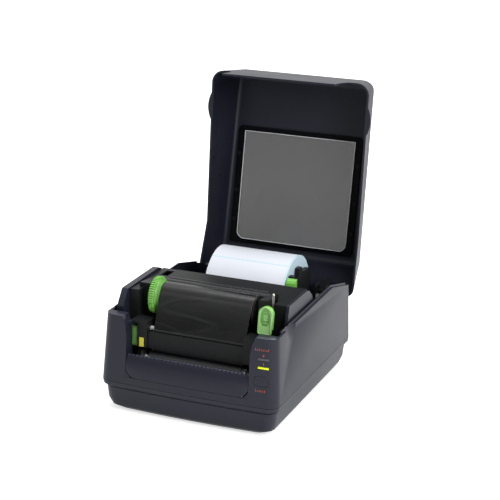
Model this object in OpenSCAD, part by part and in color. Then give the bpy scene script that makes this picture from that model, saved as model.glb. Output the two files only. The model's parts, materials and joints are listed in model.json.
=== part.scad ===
/* [Case] */
// Width of the case at the seam between tray and shell
case_w = 220; // [214:1:226]
// Depth of the case, front to back
case_d = 276; // [272:1:280]
// Height of the seam between tray and shell
seam_z = 39.3; // [37:0.1:41]
// Thickness of the moulded case walls
wall = 3; // [2.4:0.1:3.2]
// How far each side wall leans inwards for each millimetre of height
side_draft = 0.054; // [0.04:0.002:0.06]
// Radius of the upright corners at the front
corner_r = 13.7; // [10:0.1:15]
// How far the front bulges forward in plan
front_bow = 2.5; // [1:0.1:3]
// Height of the side rim at the front
rim_front_z = 120.4; // [119:0.1:121]
// Height of the side rim at its highest point
rim_kink_z = 124.4; // [124:0.1:125]
// Distance of that point behind the middle
rim_kink_y = 66.5; // [60:0.5:70]
// Height of the side rim at the back
rim_back_z = 108.4; // [108:0.1:109]
// Half width of the opening between the front pillars
mouth_half = 76; // [75:0.1:77]

/* [Lid] */
// Angle that the lid opens to
lid_angle = 93.4; // [90:0.1:95]
// Height of the lid's front edge above the floor when it is closed
lid_top_z = 187.5; // [184:0.5:190]
// Fall of the lid's top towards the back, in degrees
lid_slope = 4.86; // [4:0.01:5]
// Thickness of the lid's walls
lid_wall = 2.6; // [2.2:0.1:2.8]
// Half width of the window
pane_half = 79.5; // [76:0.5:80]

/* [Ribbon and labels] */
// Width of the ribbon
ribbon_w = 113.5; // [108:0.5:114]
// Radius of the roll of used ribbon
takeup_r = 17; // [16.8:0.1:18]
// Radius of the roll of fresh ribbon
supply_r = 24; // [18:0.5:25]
// Radius of the roll of labels
label_r = 52.5; // [30:0.5:54]
// Width of the labels
label_w = 104; // [100:1:106]
// Radius of the platen roller
platen_r = 8; // [7:0.1:8]
// Radius of the take-up hand wheel
wheel_r = 22; // [20:0.5:23]

/* [Hidden] */
// Everything is drawn about the middle of the case and moved by this, to the
// middle of the whole outline with the lid open
base_middle = [0, -49.79, 0];
$fn = 64;

case_half = case_w / 2;
front_y = -case_d / 2;
back_y = case_d / 2;
back_r = 8;
front_draft = 0.035;
shell_top = 126;
tray_floor = 1.8;
floor_top = tray_floor + 2.6;
cover_bottom = 48;
cover_top = 73.6;
flare_z = 100;
mouth_flare = 84;
pillar_depth = 16;
scoop_y = -87;
seam_gap = 0.2;
boss_x = 97;
boss_y = 118;
foot_h = 2.8;
eps = 0.01;

hinge_y = 132.8;
hinge_z = 95.1;
hinge_x = 72;
hinge_pin_r = 3;
hinge_slot = 9.6;
rim_gap = 0.5;
grip_proud = 4.5;

pane_y0 = -52.5;
pane_y1 = 97;
bezel_half = 87;
bezel_y0 = -57.4;
bezel_y1 = 101;
bezel_t = 2.4;
lid_ref_y = -118;

pivot_y = 5;
pivot_z = 100;
pivot_r = 3;
box_in_left = -70.5;
box_in_right = 68;
box_out_left = -90;
box_out_right = 95.5;
box_wall = 2;
bar_top = 142;

takeup_y = -80;
takeup_z = 133;
supply_y = -38;
supply_z = 104;
spindle_r = 3;
ribbon_x0 = -53;
core_r = 16.4;

rod_y = -108;
rod_z = 101.5;
rod_r = 2.75;

latch_y = -102;
latch_z = 92;
latch_r = 3;
play = 0.06;

platen_y = -110;
platen_z = 66;
platen_x0 = -57;
platen_x1 = 58;
bush_r = 5;
plate_t = 1.5;
left_plate_x = -66.5;
right_plate_x = 64;

gear_x = -71;
gear_w = 3.4;
tooth = 1;
pinion_teeth = 12;
idler_teeth = 48;
platen_teeth = 20;
motor_y = -62;
motor_z = 40.5;
drive_y = -91.82;
drive_z = 37.27;
small_tooth = 0.8;
takeup_teeth = 12;
takeup_idler_teeth = 24;
takeup_idler_y = -72;
takeup_idler_z = 121;

roll_y = 80;
roll_z = 101;
roll_x = 1;
label_core_in = 12.9;
label_core_out = 16;
deck_z = 45;
web_end_y = -62;
rack_tooth = 1;
rack_teeth = 16;
rack_y_gap = 8;

side_colour = "#3d3d47";
inner_colour = "#2a2a33";
black_colour = "#1c1d1c";
green_colour = "#7cc850";
steel_colour = "#b9bcc0";

function half_at(z) = case_half - side_draft * (z - seam_z);
function front_at(z) = front_y + front_draft * (z - seam_z);

// Quarter turn of points about (cx, cy) from angle a0 to a0 + 90
function turn(cx, cy, r, a0, n = 8) =
    [for (i = [0 : n]) [cx + r * cos(a0 + 90 * i / n), cy + r * sin(a0 + 90 * i / n)]];

// Bowed front edge from left to right
function bowed(hw, yf, bow, n = 12) =
    [for (i = [1 : n - 1]) let (x = hw * (2 * i / n - 1)) [x, yf - bow * (1 - pow(x / hw, 2))]];

// Plan outline of a moulded box with a bowed front
module plan(hw, yf, yb, rf, rb, bow) {
    polygon(concat(
        turn(-hw + rf, yf + rf, rf, 180),
        bowed(hw - rf, yf, bow),
        turn(hw - rf, yf + rf, rf, 270),
        turn(hw - rb, yb - rb, rb, 0),
        turn(-hw + rb, yb - rb, rb, 90)));
}

module slab(z, hw, yf, yb, rf = corner_r, rb = back_r, bow = front_bow) {
    translate([0, 0, z])
        linear_extrude(eps)
            plan(hw, yf, yb, rf, rb, bow);
}

// Solid prism whose side profile is a list of [y, z] points
module side_prism(points, x0, x1) {
    translate([x0, 0, 0])
        rotate([90, 0, 90])
            linear_extrude(x1 - x0)
                polygon(points);
}

// Solid prism whose front profile is a list of [x, z] points
module front_prism(points, y0, y1) {
    translate([0, y1, 0])
        rotate([90, 0, 0])
            linear_extrude(y1 - y0)
                polygon(points);
}

// Cylinder along X from x0 to x1 about the line (y, z)
module rod_x(x0, x1, y, z, r, steps = 64) {
    translate([x0, y, z])
        rotate([0, 90, 0])
            cylinder(h = x1 - x0, r = r, $fn = steps);
}

module tube_x(x0, x1, y, z, r_out, r_in) {
    difference() {
        rod_x(x0, x1, y, z, r_out);
        rod_x(x0 - 1, x1 + 1, y, z, r_in);
    }
}

module block(x0, x1, y0, y1, z0, z1) {
    translate([x0, y0, z0])
        cube([x1 - x0, y1 - y0, z1 - z0]);
}

// Rounded rectangle in plan, made of true arcs
module rounded_rect(w, h, r) {
    square([w - 2 * r, h], center = true);
    square([w, h - 2 * r], center = true);
    for (sx = [-1, 1], sy = [-1, 1])
        translate([sx * (w / 2 - r), sy * (h / 2 - r)])
            circle(r = r);
}

// Spur gear about X: flat-topped teeth on a round blank
module spur_gear(x0, w, y, z, teeth, size, bore_r, phase = 0) {
    pitch_r = teeth * size / 2;
    translate([x0, y, z])
        rotate([90, 0, 90])
            linear_extrude(w)
                difference() {
                    union() {
                        circle(r = pitch_r - 0.95 * size);
                        for (i = [0 : teeth - 1])
                            rotate([0, 0, phase + i * 360 / teeth])
                                gear_tooth(pitch_r, size);
                    }
                    circle(r = bore_r);
                }
}

module gear_tooth(pitch_r, size) {
    root = pitch_r - 1.2 * size;
    tip = pitch_r + 0.75 * size;
    polygon([[root, -0.95 * size], [pitch_r, -0.62 * size], [tip, -0.3 * size],
        [tip, 0.3 * size], [pitch_r, 0.62 * size], [root, 0.95 * size]]);
}

/* ---- case ---- */

module case_outer() {
    hull() {
        slab(seam_z, half_at(seam_z), front_at(seam_z), back_y + 1);
        slab(shell_top, half_at(shell_top), front_at(shell_top), back_y);
    }
}

module case_inner() {
    hull() {
        slab(seam_z - 1, half_at(seam_z) - wall, front_at(seam_z) + wall, back_y + 1 - wall,
            corner_r - wall, back_r - wall);
        slab(shell_top + 1, half_at(shell_top) - wall, front_at(shell_top) + wall,
            back_y - wall, corner_r - wall, back_r - wall);
    }
}

// Side profile of everything below the rim
module below_rim(lift = 0) {
    side_prism([[-160, -1], [160, -1], [160, rim_back_z - 6 + lift],
        [back_y + 0.5, rim_back_z - 3 + lift], [back_y - 2.5, rim_back_z + 0.4 + lift],
        [rim_kink_y, rim_kink_z + lift], [-115, rim_front_z + lift],
        [-160, rim_front_z + lift]], -130, 130);
}

mouth_points = [[-mouth_half, cover_bottom], [mouth_half, cover_bottom], [mouth_half, flare_z],
    [mouth_half + 2, flare_z + 12], [mouth_flare, shell_top], [mouth_flare, shell_top + 20],
    [-mouth_flare, shell_top + 20], [-mouth_flare, shell_top], [-mouth_half - 2, flare_z + 12],
    [-mouth_half, flare_z]];

module scoop(side, grow) {
    translate([side * (half_at(rim_front_z) + 33), scoop_y, rim_front_z - 20])
        cylinder(h = 26, r1 = 31 + grow, r2 = 38.8 + grow);
}

module pillar(side) {
    intersection() {
        case_outer();
        union() {
            block(side * mouth_half - (side < 0 ? wall : 0),
                side * mouth_half + (side < 0 ? 0 : wall),
                front_y - 4, front_y + 2 + pillar_depth, seam_z, flare_z + 12);
            front_prism([[side * mouth_half, flare_z], [side * (mouth_half + 2), flare_z + 12],
                [side * mouth_flare, shell_top], [side * (mouth_flare + wall), shell_top],
                [side * (mouth_half + 2 + wall), flare_z + 12],
                [side * (mouth_half + wall), flare_z]], front_y - 4,
                front_y + 2 + pillar_depth);
            block(side < 0 ? -half_at(seam_z) : mouth_half + wall + 2,
                side < 0 ? -mouth_half - wall - 2 : half_at(seam_z),
                front_y - 4, front_y + 2 + pillar_depth, rim_front_z - 3, rim_front_z + 10);
        }
    }
}

module rim_lip() {
    difference() {
        intersection() {
            hull() {
                slab(seam_z, half_at(seam_z) - wall, front_y + wall, back_y + 1 - wall);
                slab(shell_top + 4, half_at(shell_top) - wall + 0.1, front_y + wall,
                    back_y - wall);
            }
            block(-130, 130, -112, back_y - 12, 96, 132);
        }
        hull() {
            slab(seam_z, half_at(seam_z) - wall - 1.8, front_y + wall, back_y - 1 - wall);
            slab(shell_top + 5, half_at(shell_top) - wall - 1.6, front_y + wall,
                back_y - 2 - wall);
        }
    }
}

module case_shell() {
    color(side_colour)
        difference() {
            union() {
                intersection() {
                    difference() {
                        case_outer();
                        case_inner();
                    }
                    below_rim();
                }
                intersection() {
                    union() {
                        pillar(-1);
                        pillar(1);
                        for (side = [-1, 1])
                            intersection() {
                                case_outer();
                                scoop(side, 2.2);
                                block(-130, 130, -125, -50, 90, 130);
                            }
                        for (side = [-1, 1], end = [-1, 1]) {
                            translate([side * boss_x, end * boss_y, seam_z + 0.4])
                                cylinder(h = 26, r = 5);
                            translate([side * (boss_x + 6), end * boss_y, seam_z + 13.4])
                                cube([9.4, 2, 26], center = true);
                        }
                    }
                    below_rim();
                }
                intersection() {
                    rim_lip();
                    below_rim(2.6);
                }
            }
            front_prism(mouth_points, front_y - 10, front_y + 10);
            for (side = [-1, 1])
                scoop(side, 0);
            for (side = [-1, 1])
                block(side * hinge_x - hinge_slot, side * hinge_x + hinge_slot, back_y - 7,
                    back_y + 9, 84, 130);
            for (side = [-1, 1], end = [-1, 1])
                translate([side * boss_x, end * boss_y, seam_z])
                    cylinder(h = 20, r = 1.95);
            panel_cuts(0.25);
            block(-130, 130, -160, 160, 0, seam_z + seam_gap);
            rear_vents();
        }
}

// Openings of the control panel in the right pillar
module panel_cuts(gap) {
    for (z = [86.4, 96.4])
        front_prism([[86 - gap, z - 1.6 - gap], [98.4 + gap, z - 1.6 - gap],
            [98.4 + gap, z + 1.6 + gap], [86 - gap, z + 1.6 + gap]], front_y - 6, front_y + 6);
    translate([button_x, front_y - 6, button_z])
        rotate([-90, 0, 0])
            linear_extrude(12)
                rounded_rect(button_w + 2 * gap, button_h + 2 * gap, button_r + gap);
}

button_x = 90.6;
button_z = 70.8;
button_w = 16.6;
button_h = 11.6;
button_r = 3.6;

module rear_vents() {
    for (i = [0 : 6])
        block(-36 + i * 12, -30 + i * 12, back_y - 6, back_y + 6, 62, 82);
}

module bottom_tray() {
    color(side_colour)
        difference() {
            union() {
                difference() {
                    union() {
                        tray_belt();
                        tray_bowl();
                    }
                    tray_hollow();
                }
                for (side = [-1, 1], end = [-1, 1])
                    translate([side * boss_x, end * boss_y, 14])
                        cylinder(h = seam_z - 14 - seam_gap, r = 5);
                for (x = [-54, 64], y = [46, 118])
                    translate([x, y, tray_floor + 1])
                        cylinder(h = board_z - tray_floor - 1, r = 3.5);
            }
            for (side = [-1, 1], end = [-1, 1]) {
                translate([side * boss_x, end * boss_y, 0])
                    cylinder(h = 60, r = 2.3);
                translate([side * boss_x, end * boss_y, 0])
                    cylinder(h = 18, r = 4.2);
            }
            for (side = [-1, 1], end = [-1, 1])
                translate([side * 76, end * 108, 0])
                    cylinder(h = foot_h, r = 9.2);
            rear_ports(0.3);
            for (i = [-4 : 4])
                block(i * 14 - 2, i * 14 + 2, -40, 20, 0, 10);
        }
}

module tray_belt() {
    hull() {
        slab(seam_z - seam_gap, half_at(seam_z), front_at(seam_z), back_y + 1);
        slab(34.5, half_at(seam_z) - 0.6, front_at(seam_z) + 0.6, back_y + 0.4);
        slab(30.5, half_at(seam_z) - 5.4, front_at(seam_z) + 5, back_y - 5);
    }
}

module tray_bowl() {
    hull() {
        slab(31, 106.2, front_y + 3.8, back_y - 3.8);
        slab(16, 104.8, front_y + 5.4, back_y - 5.2);
        slab(7.2, 101.4, front_y + 9, back_y - 8.8);
        slab(tray_floor, 93.5, front_y + 17, back_y - 16.5);
    }
}

module tray_hollow() {
    hull() {
        slab(seam_z + 1, half_at(seam_z) - 7.4, front_y + 7.4, back_y - 7.4, 11, 6);
        slab(16, 101.4, front_y + 8.6, back_y - 8.6, 11, 6);
        slab(floor_top, 93, front_y + 17, back_y - 17, 11, 6);
    }
}

module rubber_feet() {
    color(black_colour)
        for (side = [-1, 1], end = [-1, 1])
            translate([side * 76, end * 108, 0])
                cylinder(h = foot_h, r = 9);
}

module case_screws() {
    color(steel_colour)
        for (side = [-1, 1], end = [-1, 1])
            translate([side * boss_x, end * boss_y, 0]) {
                translate([0, 0, 15])
                    cylinder(h = 3, r = 3.8);
                translate([0, 0, 18])
                    cylinder(h = 38, r = 1.9);
            }
}

module front_cover() {
    color(side_colour)
        union() {
            intersection() {
                difference() {
                    case_outer();
                    case_inner();
                }
                front_prism(cover_points, front_y - 10, front_y + 4);
            }
            intersection() {
                case_outer();
                block(-mouth_half + 0.5, mouth_half - 0.5, front_y - 4, front_y + 7,
                    cover_top - 3, cover_top);
            }
        }
}

cover_gap = 0.4;
cover_r = 12;
cover_half = mouth_half - cover_gap;

cover_points = concat(
    [[cover_half, cover_top], [-cover_half, cover_top]],
    turn(-cover_half + cover_r, cover_bottom + cover_gap + cover_r, cover_r, 180),
    turn(cover_half - cover_r, cover_bottom + cover_gap + cover_r, cover_r, 270));

module tear_bar() {
    color(steel_colour)
        union() {
            block(-64, 64, front_y + 7, front_y + 8.2, 62, 74.6);
            block(-64, 64, front_y + 8.2, front_y + 11, 62, 63);
        }
}

module media_deck() {
    color(inner_colour)
        difference() {
            side_prism([[back_y - 8, deck_z], [12, deck_z], [-50, 66.4], [-70, 69.8], [-96, 71],
                [-96, 68], [-70, 66.8], [-49, 63.6], [11, deck_z - 2.6],
                [back_y - 8, deck_z - 2.6]], -61.5, 60.5);
            for (side = [-1, 1])
                block(roll_x + side * 66 - 14, roll_x + side * 66 + 14, 60, 100, 30, 60);
            block(-8, 10, -68, -58, 66.8, 80);
        }
    color(inner_colour)
        translate([roll_x, roll_y, 32])
            cylinder(h = deck_z - 2 - 32, r = 3);
    color(inner_colour)
        for (side = [-1, 1])
            difference() {
                block(side < 0 ? -104 : 60.5, side < 0 ? -61.5 : 104, 24, back_y - 8,
                    deck_z - 2.6, deck_z);
                block(roll_x + side * 66 - 14, roll_x + side * 66 + 14, 60, 100, 30, 60);
                translate([side * boss_x, boss_y, 30])
                    cylinder(h = 30, r = 5.6);
                translate([side * (boss_x + 6), boss_y, 45])
                    cube([12, 3, 30], center = true);
            }
}

// Outline of a steel side plate, with its ear for the module's pivot
plate_points = [[-118, 58], [-118, 74], [-100, 75], [-20, 68], [-8, 98], [-4, 108], [14, 108],
    [18, 100], [18, floor_top], [0, floor_top], [-8, 46], [-30, 46], [-38, floor_top],
    [-86, floor_top], [-90, 46]];

module side_plate(x) {
    difference() {
        side_prism(plate_points, x, x + plate_t);
        rod_x(x - 1, x + plate_t + 1, pivot_y, pivot_z, pivot_r + play);
        rod_x(x - 1, x + plate_t + 1, platen_y, platen_z, bush_r + 0.05);
        rod_x(x - 1, x + plate_t + 1, motor_y, motor_z, 11.2);
    }
}

module left_side_plate() {
    color(steel_colour) {
        side_plate(left_plate_x);
        rod_x(gear_x - 1.6, left_plate_x + 0.5, drive_y, drive_z, 2);
    }
}

module right_side_plate() {
    color(steel_colour)
        side_plate(right_plate_x);
}

module platen_bushings() {
    color("#d9d4c4")
        for (x = [left_plate_x - 0.4, right_plate_x - 1.6]) {
            tube_x(x, x + 3.5, platen_y, platen_z, bush_r, spindle_r + play);
        }
}

module stepper_motor() {
    color("#2b2b2d")
        union() {
            difference() {
                block(left_plate_x + plate_t, left_plate_x + plate_t + 34, motor_y - 21,
                    motor_y + 21, motor_z - 21, motor_z + 21);
                for (a = [45 : 90 : 315])
                    rotate_about(motor_y, motor_z, a)
                        block(-90, -20, motor_y + 26, motor_y + 40, motor_z - 20, motor_z + 20);
            }
            rod_x(left_plate_x - 0.2, left_plate_x + plate_t + 1, motor_y, motor_z, 11);
        }
}

module rotate_about(y, z, a) {
    translate([0, y, z])
        rotate([a, 0, 0])
            translate([0, -y, -z])
                children();
}

board_z = 12;

module main_board() {
    color("#1f5b3a")
        union() {
            block(-60, 70, 40, back_y - 15, board_z, board_z + 1.6);
            block(-30, -10, 60, 80, board_z + 1.6, board_z + 3.6);
            block(10, 36, 56, 66, board_z + 1.6, board_z + 8);
            for (i = [0 : 2])
                translate([50, 60 + i * 16, board_z + 1.6])
                    cylinder(h = 12, r = 5);
        }
}

module rear_ports(gap) {
    for (p = [[-88, 19, 13], [-50, 15, 11], [-22, 13, 11], [6, 30, 11], [50, 16, 13]])
        block(p[0] - gap, p[0] + p[1] + gap, back_y - 18, back_y + 4, board_z + 1.6 - gap,
            board_z + 1.6 + p[2] + gap);
}

module power_inlet() {
    color(black_colour)
        difference() {
            block(-50, -35, back_y - 16, back_y - 3, board_z + 1.6, board_z + 12.6);
            translate([-42.5, back_y - 2, board_z + 7.1])
                rotate([90, 0, 0])
                    cylinder(h = 11, r = 3.9);
        }
    color(steel_colour)
        translate([-42.5, back_y - 4, board_z + 7.1])
            rotate([90, 0, 0])
                cylinder(h = 10, r = 1.1);
}

module data_ports() {
    color(steel_colour)
        for (p = [[-22, 13, 11], [6, 30, 11], [50, 16, 13]])
            difference() {
                block(p[0], p[0] + p[1], back_y - 16, back_y - 4, board_z + 1.6,
                    board_z + 1.6 + p[2]);
                block(p[0] + 1.2, p[0] + p[1] - 1.2, back_y - 13, back_y, board_z + 2.8,
                    board_z + 0.4 + p[2]);
            }
}

module power_rocker() {
    color(black_colour)
        difference() {
            union() {
                rod_x(-86, -72, rocker_y, rocker_z, 6.5);
                block(-86, -72, rocker_y - 5, rocker_y, rocker_z - 5.6, rocker_z + 5.6);
            }
            rod_x(-90, -70, rocker_y + 9.4, rocker_z, 7);
            rod_x(-90, -70, rocker_y, rocker_z, 1.6);
        }
}

rocker_y = back_y - 11;
rocker_z = board_z + 8.1;

module media_sensor() {
    color(black_colour)
        block(-8, 10, -68, -58, 66.8, 67.8);
    color("#8a2f2f")
        block(-4, 6, -66, -60, 67.8, 68.1);
}

module status_lenses() {
    for (z = [86.4, 96.4])
        color(z < 90 ? "#d8ee20" : "#55565c")
            intersection() {
                case_outer();
                block(86, 98.4, front_y - 6, front_y + 6, z - 1.6, z + 1.6);
            }
}

module panel_board() {
    color("#1f5b3a")
        union() {
            block(80.5, 103, front_y + 13, front_y + 14.6, 60, 104);
            for (z = [86.4, 96.4])
                block(88, 96, front_y + 7.2, front_y + 13, z - 1.4, z + 1.4);
        }
}

module feed_button() {
    color(side_colour)
        union() {
            intersection() {
                case_outer();
                translate([button_x, front_y - 6, button_z])
                    rotate([-90, 0, 0])
                        linear_extrude(12)
                            rounded_rect(button_w, button_h, button_r);
            }
            translate([button_x, front_y + 4, button_z])
                rotate([-90, 0, 0])
                    cylinder(h = 7.6, r = 3);
        }
}

module hinge_brackets() {
    color(black_colour)
        for (side = [-1, 1], cheek = [-1, 1])
            difference() {
                side_prism([[118, deck_z], [back_y - 3.4, deck_z], [back_y - 3.4, 86],
                    [back_y - 1, 88.6], [back_y - 1, 101], [hinge_y - 3, 108],
                    [hinge_y - 10, 104], [118, 84]],
                    side * hinge_x + cheek * 7 - 1.5, side * hinge_x + cheek * 7 + 1.5);
                rod_x(-130, 130, hinge_y, hinge_z, hinge_pin_r + play);
            }
}

module label_web() {
    color("#e9eef4")
        side_prism([[71.6, 48.5], [web_end_y, 69.2], [web_end_y, 69.6], [71.6, 48.9]],
            roll_x - label_w / 2, roll_x + label_w / 2);
}

/* ---- lid ---- */

// Turns a child that is drawn with the lid closed to the open rest position
module opened() {
    translate([0, hinge_y, hinge_z])
        rotate([-lid_angle, 0, 0])
            translate([0, -hinge_y, -hinge_z])
                children();
}

// Local frame on the lid's top: y runs back along the slope, z stands out of the lid
module on_top() {
    translate([0, lid_ref_y, lid_top_z])
        rotate([-lid_slope, 0, 0])
            translate([0, -lid_ref_y, 0])
                children();
}

lid_front_y = -135.6;
lid_front_z = 74.5;
lid_front_lean = 1.28;
lid_side_half = 106.5;
lid_side_z = 121;
lid_side_lean = 10.2;
lid_back_y = 140.5;
lid_back_z = 106;
lid_back_lean = 24.7;
front_edge_r = 14;
back_edge_r = 18;
side_edge_r = 9;
lid_corner_r = 16;
lid_back_corner_r = 10;
bow_r = 1800;
far = 300;

function normal(a) = [cos(a), sin(a)];

// Centre of an arc of radius r that touches two lines, given by their outward directions
// and by one point on each
function arc_centre(a, p, b, q, r) =
    let (na = normal(a), nb = normal(b), da = na * p - r, db = nb * q - r,
        det = na[0] * nb[1] - na[1] * nb[0])
        [(da * nb[1] - db * na[1]) / det, (na[0] * db - nb[0] * da) / det];

top_out = 90 - lid_slope;
front_out = 180 - lid_front_lean;
front_point = [lid_front_y, lid_front_z];
top_point = [lid_ref_y, lid_top_z];
back_point = [lid_back_y, lid_back_z];

// Side profile of the lid: front, sloping top and leaning back with true arcs between them
module lid_profile(inset) {
    rf = front_edge_r - inset;
    rb = back_edge_r - inset;
    cf = arc_centre(front_out, front_point, top_out, top_point, front_edge_r);
    cb = arc_centre(lid_back_lean, back_point, top_out, top_point, back_edge_r);
    foot = (lid_back_z - 40) * [1, 1];
    polygon([cf + rf * normal(front_out), cf + rf * normal(top_out), cb + rb * normal(top_out),
        cb + rb * normal(lid_back_lean),
        back_point - inset * normal(lid_back_lean) + 20 * normal(lid_back_lean - 90),
        [lid_back_y, foot[0]], [lid_front_y + inset, foot[1]],
        front_point + inset * [1, 0]]);
    translate(cf)
        circle(r = rf);
    translate(cb)
        circle(r = rb);
}

// Everything inside two faces that meet in an upright edge of radius r at the local origin
module inside_corner(r, end) {
    translate([-far, -far])
        square([far - r, 2 * far]);
    translate([-far, end > 0 ? -far : r])
        square([far, far - (end > 0 ? r : 0)]);
    translate([-r, end > 0 ? -r : r])
        circle(r = r);
}

// Rounded upright corner of the lid; end is -1 at the front and 1 at the back
module corner_keep(side, end, inset) {
    lean = end > 0 ? lid_back_lean : -lid_front_lean;
    y = end > 0 ? lid_back_y - tan(lid_back_lean) * (lid_side_z - lid_back_z)
        : lid_front_y + tan(lid_front_lean) * (lid_side_z - lid_front_z);
    r = (end > 0 ? lid_back_corner_r : lid_corner_r) - inset;
    scale_x = side > 0 ? 0 : 1;
    mirror([scale_x, 0, 0])
        translate([lid_side_half, y, lid_side_z])
            rotate([lean, -lid_side_lean, 0])
                translate([-inset, -end * inset, -far])
                    linear_extrude(2 * far)
                        inside_corner(r, end);
}

// Rounded long edge between the top and one side
module edge_keep(side, inset) {
    widen = tan(lid_side_lean) * tan(lid_slope);
    y = lid_ref_y;
    x = lid_side_half - tan(lid_side_lean) * (lid_top_z - lid_side_z);
    r = side_edge_r - inset;
    c = arc_centre(lid_side_lean, [0, 0], 90, [0, 0], side_edge_r);
    mirror([side > 0 ? 0 : 1, 0, 0])
        translate([x, y, lid_top_z])
            rotate([-lid_slope, 0, -atan(widen)])
                rotate([90, 0, 0])
                    translate([0, 0, -far])
                        linear_extrude(2 * far) {
                            polygon([c + r * normal(lid_side_lean), c + r * normal(90),
                                [-far, -inset], [-far, -far],
                                c + r * normal(lid_side_lean)
                                    + 250 * normal(lid_side_lean - 90)]);
                            translate(c)
                                circle(r = r);
                        }
}

module lid_mass(inset) {
    intersection() {
        translate([-far / 2, 0, 0])
            rotate([90, 0, 90])
                linear_extrude(far)
                    lid_profile(inset);
        translate([0, lid_front_y - front_bow + bow_r + inset, 0])
            cylinder(h = far, r = bow_r, $fn = 1200);
        intersection_for (side = [-1, 1])
            edge_keep(side, inset);
        intersection_for (side = [-1, 1], end = [-1, 1])
            corner_keep(side, end, inset);
    }
}

module above_rim() {
    side_prism([[-160, rim_front_z + rim_gap], [-115, rim_front_z + rim_gap],
        [rim_kink_y, rim_kink_z + rim_gap], [back_y - 2.5, rim_back_z + 0.4 + rim_gap],
        [160, rim_back_z - 3 + rim_gap], [160, 220], [-160, 220]], -130, 130);
}

// Everything below the lid, leaving the tongue that hangs between the pillars
module below_lid() {
    difference() {
        side_prism([[-160, rim_front_z + rim_gap], [-115, rim_front_z + rim_gap],
            [rim_kink_y, rim_kink_z + rim_gap], [back_y - 2.5, rim_back_z + 0.4 + rim_gap],
            [160, rim_back_z - 3 + rim_gap], [160, 60], [-160, 60]], -130, 130);
        front_prism(tongue_points, -150, -128);
    }
}

tongue_half = mouth_half - 0.8;
tongue_points = [[-tongue_half, cover_top + 2.4], [tongue_half, cover_top + 2.4],
    [tongue_half, flare_z], [mouth_half + 1.1, flare_z + 12.2], [mouth_flare - 2.2, 124],
    [mouth_flare - 2.2, 140], [-mouth_flare + 2.2, 140], [-mouth_flare + 2.2, 124],
    [-mouth_half - 1.1, flare_z + 12.2], [-tongue_half, flare_z]];

module lid_shell() {
    color(side_colour)
        opened()
            difference() {
                union() {
                    difference() {
                        lid_mass(0);
                        lid_mass(lid_wall);
                        below_lid();
                    }
                    for (side = [-1, 1])
                        lid_grip(side);
                    for (side = [-1, 1], y = rib_places)
                        lid_rib(side, y);
                }
                on_top()
                    pane_cut(0.3);
            }
}

rib_places = [-40, 8, 56];
rib_z0 = 148;
rib_z1 = 160;

function lid_half(z) = 106.4 - 0.18 * (z - rim_front_z);

// Upright stiffening rib on the inside of a side wall
module lid_rib(side, y) {
    hull()
        for (z = [rib_z0, rib_z1])
            translate([side * (lid_half(z) - lid_wall), y, z])
                cube([2, 1.6, 1], center = true);
}

// Finger grip: a lens-shaped lip that stands out of the side wall at the rim
module lid_grip(side) {
    intersection() {
        translate([side * (106.6 + grip_proud - 38.2), scoop_y, rim_front_z])
            cylinder(h = 20, r1 = 38.2, r2 = 32);
        above_rim();
        block(side < 0 ? -116 : 103.6, side < 0 ? -103.6 : 116, scoop_y - 22, scoop_y + 22,
            rim_front_z, rim_front_z + 9);
    }
}

module pane_outline(grow) {
    w = 2 * (pane_half + grow);
    h = pane_y1 - pane_y0 + 2 * grow;
    r = 9;
    translate([0, (pane_y0 + pane_y1) / 2])
        union() {
            rounded_rect(w, h, r);
            translate([-w / 2, -h / 2])
                square([w, h / 2]);
        }
}

module pane_cut(grow) {
    translate([0, 0, -12])
        linear_extrude(20)
            pane_outline(grow);
}

module window_pane() {
    color("#6f7073", 0.55)
        opened()
            on_top()
                translate([0, 0, -lid_wall])
                    linear_extrude(lid_wall - 0.1)
                        pane_outline(0);
}

module window_bezel() {
    color(black_colour)
        opened()
            on_top()
                translate([0, 0, -lid_wall - bezel_t])
                    linear_extrude(bezel_t)
                        difference() {
                            translate([0, (bezel_y0 + bezel_y1) / 2])
                                rounded_rect(2 * bezel_half, bezel_y1 - bezel_y0, 6);
                            translate([0, (pane_y0 + pane_y1) / 2])
                                rounded_rect(2 * pane_half - 3, pane_y1 - pane_y0 - 3, 8);
                            bezel_screw_spots(1.3);
                        }
}

module bezel_screw_spots(r) {
    for (side = [-1, 1], y = [-20, 30, 70])
        translate([side * (bezel_half - 3.6), y])
            circle(r = r);
}

module bezel_screws() {
    color(steel_colour)
        opened()
            on_top() {
                translate([0, 0, -lid_wall - bezel_t])
                    linear_extrude(bezel_t)
                        bezel_screw_spots(1.2);
                translate([0, 0, -lid_wall - bezel_t - 1.2])
                    linear_extrude(1.2)
                        bezel_screw_spots(2.4);
            }
}

// Inner face of the lid's back wall at a given height
function lid_back_in(z) = lid_back_y - lid_wall / cos(lid_back_lean)
    - tan(lid_back_lean) * (z - lid_back_z);

module hinge_arms() {
    color(black_colour)
        opened()
            for (side = [-1, 1]) {
                side_prism([[hinge_y - 4, hinge_z], [hinge_y + 4, hinge_z], [hinge_y + 4.2, 104],
                    [lid_back_in(111), 111], [lid_back_in(122), 122], [119, 121], [126, 108]],
                    side * hinge_x - 4, side * hinge_x + 4);
                rod_x(side * hinge_x - 9, side * hinge_x + 9, hinge_y, hinge_z, hinge_pin_r);
                rod_x(side * hinge_x - 4, side * hinge_x + 4, hinge_y, hinge_z, 4.6);
            }
}

/* ---- print module ---- */

module module_side_box(x0, x1, front, low_front) {
    side_prism([[front, bar_top - 1], [front + 1, bar_top], [-6, bar_top], [-2, 138],
        [9, 122], [12, 112], [13, 96], [9, 91.5], [-10, 90], [-58, 88], [front, low_front]],
        x0, x1);
}

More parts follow.
